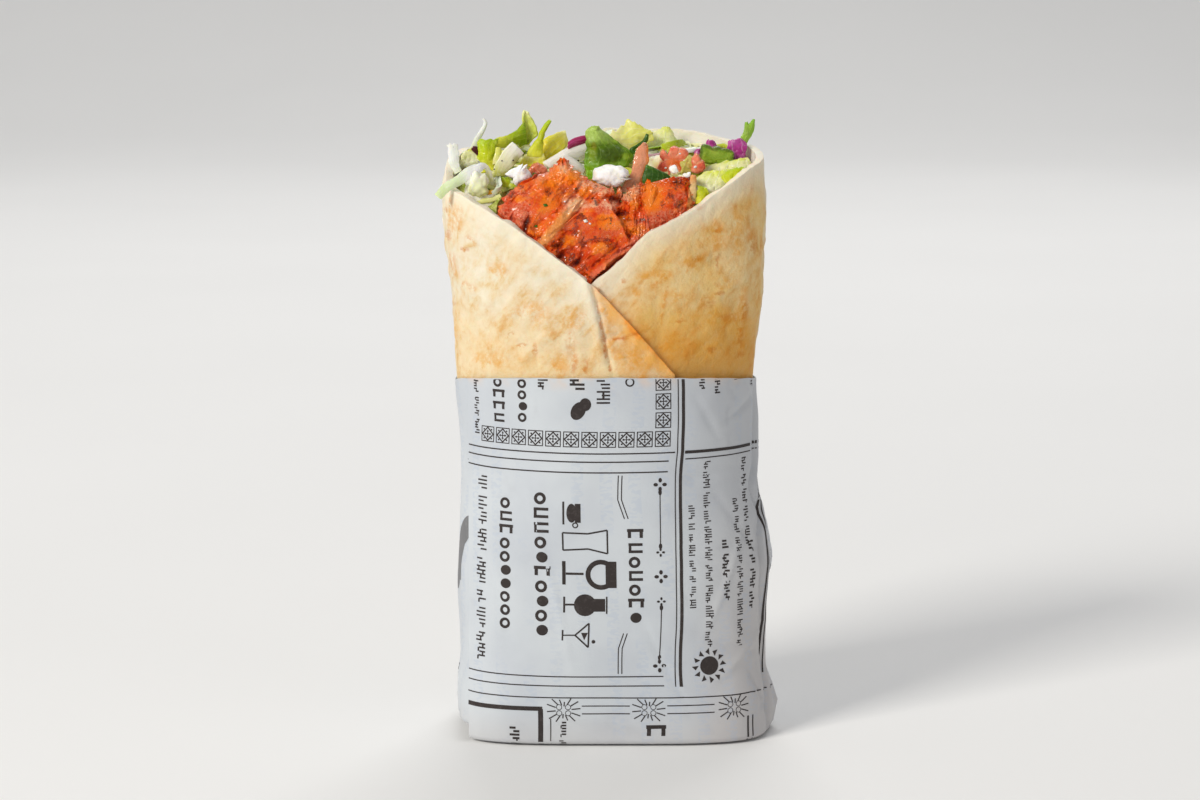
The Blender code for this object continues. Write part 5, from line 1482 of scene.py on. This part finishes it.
# Piece, cuts, node, slot, look, thickness, and the shape: bulge, lumps, ragged, ripple, columns, rows
LEAVES = (
    ("forked_strand", "strand_forked", "strand_forked", "cabbage", "white_cabbage", 0.8, 0.25, ((0.15, 0.6),), 0.5),
    ("pointed_strand", "strand_pointed", "strand_pointed", "cabbage", "white_cabbage", 0.6, 0.25, ((0.1, 0.6),), 0.1),
    ("draped_strand", "strand_draped", "strand_draped", "cabbage", "draped_cabbage", 0.7,
        0.3, ((0.15, 0.5),), 0.25, 0, 14, 80),
    ("cabbage_crumple", "cabbage_low pale_strip", "", "cabbage", "cream_lettuce", 0.8, 0.8, CRIMPED, 0.5, 0.4),
    ("maroon_bit", "cabbage_bit", "", "purple", "maroon_bit", 0.6, 0.4, ((0.15, 0.6),)),
    ("frilled_lettuce", "lettuce_frill", "lettuce_frill", "lettuce", "lime_lettuce", 0.5, 1.3, CRIMPED, 0.5, 0.5),
    ("lobed_lettuce", "lettuce_upright", "lettuce_lobe", "lettuce", "lobe_lettuce", 0.6, -1, SOFT, 0.25, 0.3, 20, 60),
    ("lettuce_arm", "lettuce_lobe", "", "lettuce", "fresh_lettuce", 0.6, 0.9, SOFT, 0.25, 0.2, 14, 60),
    ("cabbage_wall", "cabbage_wall", "", "lettuce_pale", "heart_lettuce", 0.6, 0.2, CRIMPED, 1.4, 0.9, 24),
    ("pale_tuft", "pale_tuft", "", "lettuce_pale", "pale_lettuce", 0.6, 0.3, SOFT, 0.3),
    ("bladed_lettuce", "lettuce_blade", "lettuce_blade", "lettuce", "lime_lettuce", 0.5, 0.8, SOFT, 0.25),
    ("fanned_lettuce", "lettuce_fan", "lettuce_fan", "lettuce", "yellow_lettuce", 0.5, 1.1, SOFT, 0.35, 0.3),
    ("yellow_leaf", "yellow_leaf", "", "lettuce", "yellow_lettuce", 0.6, 0.8, CRIMPED, 0.3),
    ("lettuce_stubs", "lime_stub lime_fleck", "", "lettuce", "lime_lettuce", 0.9, 0.9, SOFT, 0.3),
    ("lettuce_stalk", "lettuce_rib", "lettuce_rib", "lettuce_pale", "lettuce_stalk", 1.9, 0.3, ((0.18, 0.5),), 0.15),
    ("pale_lettuce", "lettuce_pale", "lettuce_pale", "lettuce_pale", "pale_lettuce", 0.5,
        0.5, ((0.6, 0.25), (0.25, 0.8)), 1.4, 0.6, 30),
    ("back_lettuce", "lettuce_back", "lettuce_back", "lettuce_pale", "heart_lettuce", 0.5, 0.8, SOFT, 0.8, 0.5, 30),
    ("heart_lettuce", "berg_back berg_front", "", "lettuce_pale", "heart_lettuce", 0.7,
        1, ((0.9, 0.2), (0.5, 0.6), (0.28, 1.4)), 0.7, 0.5, 40, 40),
    ("lime_curls", "lime_curl lime_low", "", "lettuce", "lime_lettuce", 0.7, 0.9, CRIMPED, 0.5, 0.7, 20),
    ("dark_leaf", "leaf_dark", "leaf_dark", "leaf_green", "dark_green_leaf", 0.7,
        1.2, ((0.6, 0.25), (0.35, 0.7), (0.2, 1.5)), 0.45, 0, 36, 60),
    ("herb_leaf", "herb_leaf", "", "leaf_green", "herb_green", 0.6, 0.7, SOFT, 0.3),
    ("chive_bit", "chive", "", "leaf_green", "herb_green", 0.7, 0.2, ((0.1, 0.8),)),
    ("herb_stem", "herb_stem", "herb_sprig", "leaf_green", "herb_green", 0.6, 0.3, ((0.2, 0.6),), 0.2),
    ("young_leaf_tip", "leaf_tip leaf_fork", "leaf_tip", "leaf_green", "young_leaf", 0.6, 0.4, ((0.12, 0.5),), 0.15),
    ("purple_curl_left", "curl_left curl_low", "cabbage_curl_left", "purple", "purple_cabbage", 0.9, 0.8, SOFT, 0.2),
    ("purple_curl_right", "curl_right", "cabbage_curl_right", "purple", "purple_cabbage", 0.9,
        0.7, CRIMPED, 0.5, 0.7, 24),
    ("carrot_bit", "carrot_bit", "", "cheese", "carrot", 0.9, 0.1, ((0.08, 0.6),)),
    ("stained_strip", "rind_right", "", "cabbage", "stained_strip", 0.9, 0.3, SOFT, 0.15),
)


def make_leaves():
    """Gives back the finishes and the stalk, which pepper lies on."""
    looks = {row[0]: leaf_finish(*row, **LOOK_EXTRAS.get(row[0], {})) for row in LEAF_LOOKS}
    made = {}
    for name, cuts, node, slot, look, thick, *shape in LEAVES:
        keys = ("bulge", "lumpy", "ragged", "ripple", "columns", "rows")
        pieces = [leaf(f"{name}_{k}", cut, thick, seed=float(k + len(name)), **dict(zip(keys, shape)))
                  for k, cut in enumerate(cuts.split())]
        made[name] = settle(join(name, pieces), looks[look], slot, *node.split(), smooth=80)
    return looks, made["lettuce_stalk"]


def make_onions():
    white = onion_finish("onion_flesh", (246, 242, 232), (236, 230, 214))
    skin = onion_finish("onion_skin", (170, 40, 96), (206, 92, 146), 0.6)
    flesh = [leaf("onion_flesh_0", "onion_white", 2, bulge=0.8, lumpy=((0.2, 0.3),), ragged=0.2),
             leaf("onion_flesh_1", "onion_inner", 1.6, bulge=0.6, lumpy=((0.2, 0.4),), ragged=0.2)]
    made = settle(join("onion_flesh", flesh), white, "onion", "onion_slice", smooth=80)
    settle(leaf("onion_skin_edge", "onion_skin", 0.8, bulge=0.5, lumpy=((0.15, 0.4),)), skin, "onion", smooth=80)
    thread = leaf("onion_thread", "onion_sliver", 0.8, bulge=0.2, lumpy=((0.15, 0.4),))
    settle(thread, onion_finish("onion_thread", (206, 170, 178), (170, 96, 128)), "onion", "onion_sliver", smooth=80)
    return made


CRUMBLY = ((0.8, 0.3), (0.35, 0.7), (0.1, 1.6))
WET = ((0.25, 0.4), (0.2, 0.9), (0.08, 2))
# Piece, outlines, node, slot, look, then for each outline: depth, and lumps, squareness and fineness
LUMPS = (
    ("cheese_crumble_large", "cheese_large", "cheese_large", "cheese", "cheese", (3.2,), CRUMBLY, 0.6, 6),
    ("cheese_crumble_left", "cheese_left", "cheese_left", "cheese", "cheese", (2.6,), CRUMBLY, 0.6, 6),
    ("cheese_crumble_right", "cheese_right cheese_crumb", "cheese_right", "cheese", "cheese",
        (1.4, 1.1), CRUMBLY, 0.6, 5),
    ("tomato_wedge", "tomato_front", "tomato_front", "tomato", "tomato", (2.2,), WET, 0.35, 6),
    ("tomato_chunk", "tomato_side", "tomato_side", "tomato", "tomato", (2,), WET, 0.4, 5),
    ("tomato_seed_jelly", "seed_mass", "", "tomato", "seeds", (1.2,), ((0.5, 0.6), (0.35, 1.3)), 0.6, 5),
    ("pepper_chunk", "pepper_piece", "pepper_piece", "pepper", "pepper", (1.9,), WET, 0.35, 6),
    ("pale_stalk_cube", "pale_cube", "", "lettuce_pale", "cube", (1.6,), CRUMBLY, 0.35, 5),
    ("cabbage_chunk", "cabbage_blob", "", "cabbage", "chunk", (2.4,), CRUMBLY, 0.6, 5),
)


def make_lumps(cheese):
    """Cheese, tomato, pepper and chunks of cabbage. Gives back the tomato pieces."""
    looks = {
        "cheese": cheese, "tomato": tomato_finish(), "pepper": pepper_finish(),
        "seeds": leaf_finish("tomato_seeds", (206, 190, 96), (198, 196, 92), (210, 206, 120), (240, 232, 176), 0.3),
        "cube": leaf_finish("pale_cube", (226, 226, 150), (246, 242, 218), (253, 251, 246), (253, 251, 244), 0.3),
        "chunk": leaf_finish("cabbage_chunk", (222, 226, 150), (248, 246, 222), (236, 236, 180), (254, 254, 246), 0.5),
    }
    made = {}
    for name, outlines, node, slot, look, depths, *shape in LUMPS:
        parts = [lump(f"{name}_{k}", outline, depths[k], *shape) for k, outline in enumerate(outlines.split())]
        piece = join(name, parts)
        piece.data.uv_layers[0].name = "cut"
        made[name] = settle(piece, looks[look], slot, *node.split(), smooth=70)
    return made["tomato_wedge"], made["tomato_chunk"]


def make_meat():
    """The meat's pieces, in front of their cores. Gives back the pieces that crumbs may lie on."""
    flesh = meat_finish()
    grain = ((0.8, 0.16), (0.35, 0.42), (0.24, 0.95), (0.16, 1.9))
    made = []
    for name, node, cut, shape in (
        ("meat_left_slices", "meat_left", "slice_left", dict(bulge=2, roll=1.2)),
        ("meat_centre_slices", "meat_centre", "slice_centre", dict(bulge=1.4, roll=1.4)),
        ("meat_right_slices", "meat_right", "slice_right", dict(bulge=1, roll=1.2, columns=110, rows=110)),
    ):
        core = core_of(f"{name}_core", node, voxel=1.1, draw_in=2, lumpy=((0.5, 0.25), (0.3, 0.6)))
        front = slab(f"{name}_front", cut, lumpy=grain, ragged=1.2, seed=float(len(made)), **shape)
        made.append(settle(join(name, [core, front]), flesh, "meat", node, smooth=80))
    pink = meat_finish("meat_strip", (0.85, 236, 166, 126), True)
    strip = leaf("meat_sliver", "meat_strip", 1.3, bulge=0.35, lumpy=((0.3, 0.3), (0.16, 1)), ragged=0.35, columns=20)
    settle(strip, pink, "meat", "meat_strip", smooth=80)
    morsel = lump("meat_morsel", "meat_bit", 1.6, ((0.4, 0.4), (0.2, 1)), 0.6, 5)
    settle(morsel, meat_finish("meat_morsel", (0.7, 232, 134, 92)), "meat", "meat_bit", smooth=80)
    return made


BITS = {  # seen from the front: x and height, carried forward to the front of the roll, and size
    # the white bit at 21, 157.1, on the tomato, is a painted highlight made as a crumb
    "cheese_crumbs_and_glint": ((-3.7, 138.5, 0.9), (-2.6, 137.8, 0.5), (6.2, 139.2, 0.4), (-9.1, 143.6, 0.45),
        (18.9, 152.5, 1.2), (20, 152.1, 0.7), (22.1, 155.3, 0.5), (24.9, 153.3, 0.7), (17.2, 153.4, 0.5),
        (21, 157.1, 0.45), (10.2, 150, 0.45), (1.3, 144, 0.4)),
    "herb_flecks": ((-14.1, 142.6, 0.9), (-16.5, 137.1, 0.7), (-6.3, 147, 0.4), (2.7, 137.8, 0.35),
        (10.4, 142.7, 0.4), (-18.1, 142.7, 0.3)),
    "pepper_grains": ((-5.7, 155.7, 0.5), (-0.7, 152.7, 0.35), (-0, 136.4, 0.35), (14.9, 139.9, 0.3),
        (-22.8, 155.3, 0.4), (-25.7, 155.1, 0.35), (-21.9, 153.6, 0.4)),
}
SEEN_AT_Y, RAY_FROM_Y = -26, -60  # where the heights above count, and where the look at the piece behind starts


def make_bits(finishes, carriers):
    """Crumbs, herb flecks and pepper grains, each laid on the piece seen behind its place. One white crumb is a
    painted highlight.
    """
    tree = Heap(*carriers).tree
    for name, (finish, slot, flat) in finishes.items():
        bits = []
        for k, (x, z, size) in enumerate(BITS[name]):
            start = (Vector((x, RAY_FROM_Y, z + (SEEN_AT_Y - RAY_FROM_Y) * VIEW_SLOPE)) - MIDDLE) * MM
            hit, normal, _, _ = tree.ray_cast(start, Vector((0, 1, -VIEW_SLOPE)))
            if hit is None:
                continue
            bit = primitive("ico_sphere", f"{name}_{k}", subdivisions=3, radius=size / 2)
            turn = normal.to_track_quat("Z", "Y").to_matrix()
            for vertex in bit.data.vertices:
                uneven = vertex.co * (1 + 0.5 * noise.noise(vertex.co * 2.4 / size + Vector((k * 5, 1, 2))))
                uneven = Vector((uneven.x * 1.15, uneven.y * 0.9, uneven.z * flat + size * 0.12))
                vertex.co = hit / MM + MIDDLE + turn @ uneven
            bits.append(bit)
        settle(join(name, bits), finish, slot, smooth=70)


# -------- food: the heap and what is strewn over it

class Heap:
    """The salad's top, for laying shreds on."""

    def __init__(self, *pieces):
        points, faces = [], []
        for piece in pieces:
            start = len(points)
            points += [vertex.co.copy() for vertex in piece.data.vertices]
            faces += [[start + k for k in face.vertices] for face in piece.data.polygons]
        self.tree = BVHTree.FromPolygons(points, faces)

    def top(self, x, y):
        hit = self.tree.ray_cast(Vector((x, y, 190)), Vector((0, 0, -1)))[0]
        return hit.z if hit else 140


def in_room(point, spare):
    """The point, drawn in so that it stays clear of the bread."""
    angle = roll_angle(point)
    height = min(point.z, 160)
    limit = on_roll(angle, height, -filling_inset(angle) - spare)
    centre = Vector((section(round(height, 1))[0], 0, point.z))
    reach = math.hypot(limit.x - centre.x, limit.y)
    off = point - centre
    return centre + off * (reach / off.length) if off.length > reach else point


SHRED_ROWS = 11


def strew(name, heap, draw, count, finish, slot, length, width, thick, curl, wild, where, lift, flat=1):
    """Bends copies of one flat shred, a millimetre square, along paths over the heap, and joins them."""
    rows = SHRED_ROWS
    blank = primitive("grid", "shred_blank", x_subdivisions=2, y_subdivisions=rows, size=1)
    blank.data.uv_layers[0].name = "cut"
    modify(blank, "SOLIDIFY", thickness=thick, offset=0)
    shreds = []
    while len(shreds) < count:
        x, y = draw.uniform(-38, 41), draw.uniform(-22, 23)
        if not where(x, y):
            continue
        size, wide = draw.uniform(*length), draw.uniform(*width)
        heading, turning = draw.uniform(0, math.tau), draw.gauss(0, curl)
        tilt, rise, twist = draw.gauss(0, 0.5 * flat), draw.uniform(0, wild), draw.gauss(0, 0.9 * flat)
        hump, raised = draw.uniform(0, 0.22) * size * flat, draw.uniform(0.1, lift)
        points = []
        for k in range(rows + 1):
            share = k / rows
            height = heap.top(x, y) + raised + hump * math.sin(math.pi * share) + rise * share * share * size
            points.append(in_room(Vector((x, y, min(height, ceiling(x)))), 0.5))
            heading += turning + draw.gauss(0, 0.12)
            ahead = (x + math.cos(heading) * size / rows, y + math.sin(heading) * size / rows)
            if where(*ahead):
                x, y = ahead
            else:
                heading += 1.1
        for _ in range(2):
            smoothed = [(a + b * 2 + c) / 4 for a, b, c in zip(points, points[1:], points[2:])]
            points = [points[0], *smoothed, points[-1]]
        shred = blank.copy()
        shred.data = blank.data.copy()
        bpy.context.scene.collection.objects.link(shred)
        cup = draw.uniform(-0.5, 0.5)
        taper = draw.uniform(0.25, 0.9)
        for vertex in shred.data.vertices:
            along = (vertex.co.y + 0.5) * rows
            k = min(int(along), rows - 1)
            on = along - k
            centre = points[k].lerp(points[k + 1], on)
            ahead = (points[min(k + 1, rows)] - points[max(k - 1, 0)]).normalized()
            lean = tilt + twist * along / rows
            side = ahead.cross(Vector((0, 0, 1))).normalized()
            up = side.cross(ahead).normalized()
            side, up = side * math.cos(lean) + up * math.sin(lean), up * math.cos(lean) - side * math.sin(lean)
            across = vertex.co.x * wide * (1 - (1 - taper) * abs(2 * along / rows - 1) ** 3)
            vertex.co = centre + side * across + up * (vertex.co.z + cup * wide * (4 * vertex.co.x**2))
        tone = shred.data.attributes.new("tone", "FLOAT", "POINT")
        tone.data.foreach_set("value", [draw.random()] * len(shred.data.vertices))
        shreds.append(shred)
    bpy.data.objects.remove(blank)
    piece = join(name, shreds)
    return settle(keep_inside(piece, 0.3), finish, slot, smooth=70)


def ceiling(x):
    """The highest a shred may lie. At the right the rim and a thin leaf show over the heap."""
    return 159 - 5.5 * ease(4, 9, x)


def inside_roll(x, y):
    return math.hypot((x - 1.4) / 37.5, y / 21.5) < 1


def behind(x, y):
    """Open salad at the back, which the front pieces hide from the photograph's side."""
    return inside_roll(x, y) and y > 9


def between(x, y):
    """Where the front pieces stand. Shreds lie low here."""
    return inside_roll(x, y) and (-4.5 < y < 9 or (x < -25.5 and y > -10) or (x > 27 and y > -14))


def between_right(x, y):
    return between(x, y) and x > -24


def tones(*shades):
    return [(k / (len(shades) - 1), colour(*shade)) for k, shade in enumerate(shades)]


def make_salad():
    draw = random.Random(11)
    bed = core_of("salad_bed", "salad", voxel=1.2, draw_in=0.9, lumpy=((1.2, 0.18), (0.7, 0.45)))
    for vertex in bed.data.vertices:
        if vertex.co.z > 128:
            limit = 145 + 0.3 * (vertex.co.y + 4) + 0.6 * noise.noise(vertex.co * 0.3)
            vertex.co.z = min(vertex.co.z, limit)
    heap = Heap(bed)
    bed_paint = Finish("salad_bed", rough=0.5, gloss=0.4)
    # Pale and olive streaks: leaf greens, with the olive partly painted shade between the shreds
    strands = bed_paint.noise(0.5, 4, 0.7, (1, 2.5, 1), 1.2)
    base = bed_paint.mix(bed_paint.rise(strands, 0.35, 0.65), (136, 152, 36), (222, 222, 130))
    base = bed_paint.mix(bed_paint.rise(bed_paint.noise(0.25, 2), 0.55, 0.65) * 0.6, base, (236, 236, 204))
    settle(bed, bed_paint.wear(base, 0.5, strands, 0.8, 0.8), "salad", "salad", smooth=80)
    lettuce = shred_finish("lettuce_shreds", tones((240, 238, 180), (220, 222, 96), (188, 204, 40), (140, 172, 20)))
    heart = shred_finish("heart_shreds", tones((248, 246, 222), (240, 238, 180), (230, 230, 132)))
    white = shred_finish("cabbage_shreds", tones((250, 250, 244), (238, 244, 228), (226, 236, 204)))
    purple = shred_finish("purple_shreds", tones((222, 172, 206), (184, 80, 146), (146, 40, 108)))
    carrot = shred_finish("carrot_shreds", tones((252, 180, 64), (246, 154, 44)))
    for name, finish, slot, back, front, low, length, width, thick in (
        ("lettuce_shreds", lettuce, "lettuce", 40, 20, between_right, (9, 20), (2.4, 5), 0.5),
        ("heart_shreds", heart, "lettuce_pale", 40, 40, between, (8, 18), (2.2, 4.6), 0.6),
        ("cabbage_shreds", white, "cabbage", 34, 18, between, (10, 24), (1.2, 2.2), 0.7),
        ("purple_shreds", purple, "purple", 10, 2, between_right, (8, 16), (1.2, 2.2), 0.8),
        ("carrot_shreds", carrot, "cheese", 4, 1, between_right, (7, 13), (1.1, 1.5), 0.9),
    ):
        strew(name + "_back", heap, draw, back, finish, slot, length, width, thick, 0.09, 0.05, behind, lift=3)
        strew(name + "_low", heap, draw, front, finish, slot, length, width, thick, 0.1, 0, low, lift=1, flat=0.4)


# -------- stage, light and camera

def make_stage():
    """A pale floor that sweeps up behind, so that floor and background are one."""
    floor = primitive("plane", "studio_floor", size=6, location=(0, 0, -0.0004))
    edit(True)
    bpy.ops.mesh.select_all(action="DESELECT")
    edit(False)
    for edge in floor.data.edges:
        edge.select = all(floor.data.vertices[k].co.y > 2.9 for k in edge.vertices)
    edit(True)
    bpy.ops.mesh.extrude_region_move(TRANSFORM_OT_translate={"value": (0, 0, 3)})
    edit(False)
    modify(floor, "BEVEL", width=1.2, segments=12, limit_method="ANGLE")
    alone(floor)
    bpy.ops.object.shade_smooth()
    paint = Finish("studio_floor", rough=0.8, gloss=0.2)
    soft = paint.noise(0.004, 2)
    floor.data.materials.append(paint.wear(paint.mix(soft, (242, 241, 239), (237, 236, 234))))
    world = bpy.data.worlds.new("studio")
    bpy.context.scene.world = world
    world.use_nodes = True
    world.node_tree.nodes["Background"].inputs["Color"].default_value = colour(236, 238, 242)
    world.node_tree.nodes["Background"].inputs["Strength"].default_value = 0.42


def add_softbox(name, place, aim, size, power, shade):
    bpy.ops.object.light_add(type="AREA", location=place)
    lamp = bpy.context.object
    lamp.name = name
    lamp.data.shape = "RECTANGLE"
    lamp.data.size, lamp.data.size_y = size
    lamp.data.energy = power
    lamp.data.color = colour(*shade)[:3]
    lamp.rotation_euler = (Vector(aim) - Vector(place)).to_track_quat("-Z", "Y").to_euler()


def make_camera():
    """Seen from the front, 9 degrees above level, with a long lens as in the photograph."""
    pitch, distance = math.radians(9), 0.886
    target = Vector((-0.00167, 0.00011, 0.0876))
    place = target + Vector((0, -math.cos(pitch), math.sin(pitch))) * distance
    bpy.ops.object.camera_add(location=place, rotation=(math.radians(90) - pitch, 0, 0))
    camera = bpy.context.object
    camera.name = "studio_camera"
    camera.data.lens = 100
    camera.data.sensor_width = 36
    bpy.context.scene.camera = camera


make_flatbread()
make_paper()
make_print()
make_salad()
meat_pieces = make_meat()
leaf_looks, stalk = make_leaves()
onion = make_onions()
cheese_finish = crumble_finish()
tomato_pieces = make_lumps(cheese_finish)
pepper_paint = Finish("ground_pepper", rough=0.7)
pepper_shade = pepper_paint.mix(pepper_paint.noise(2), (40, 32, 22), (92, 74, 48))
make_bits(
    {"cheese_crumbs_and_glint": (cheese_finish, "cheese", 0.7), "herb_flecks": (leaf_looks["herb_green"], "leaf_green", 0.35),
     "pepper_grains": (pepper_paint.wear(pepper_shade), None, 0.8)},
    [*meat_pieces, *tomato_pieces, stalk, onion],
)
make_stage()
add_softbox("key_light", (-1.6, -1.5, 1.45), (0, 0, 0.09), (0.8, 0.8), 45, (255, 252, 246))
add_softbox("fill_light", (1.8, -1.4, 0.8), (0, 0, 0.09), (1.4, 1.4), 2, (255, 250, 244))
add_softbox("back_light", (0.2, 1.5, 1.6), (0, 0, 0.12), (1.2, 0.8), 15, (255, 255, 255))
make_camera()
bpy.context.scene.view_settings.view_transform = "Standard"
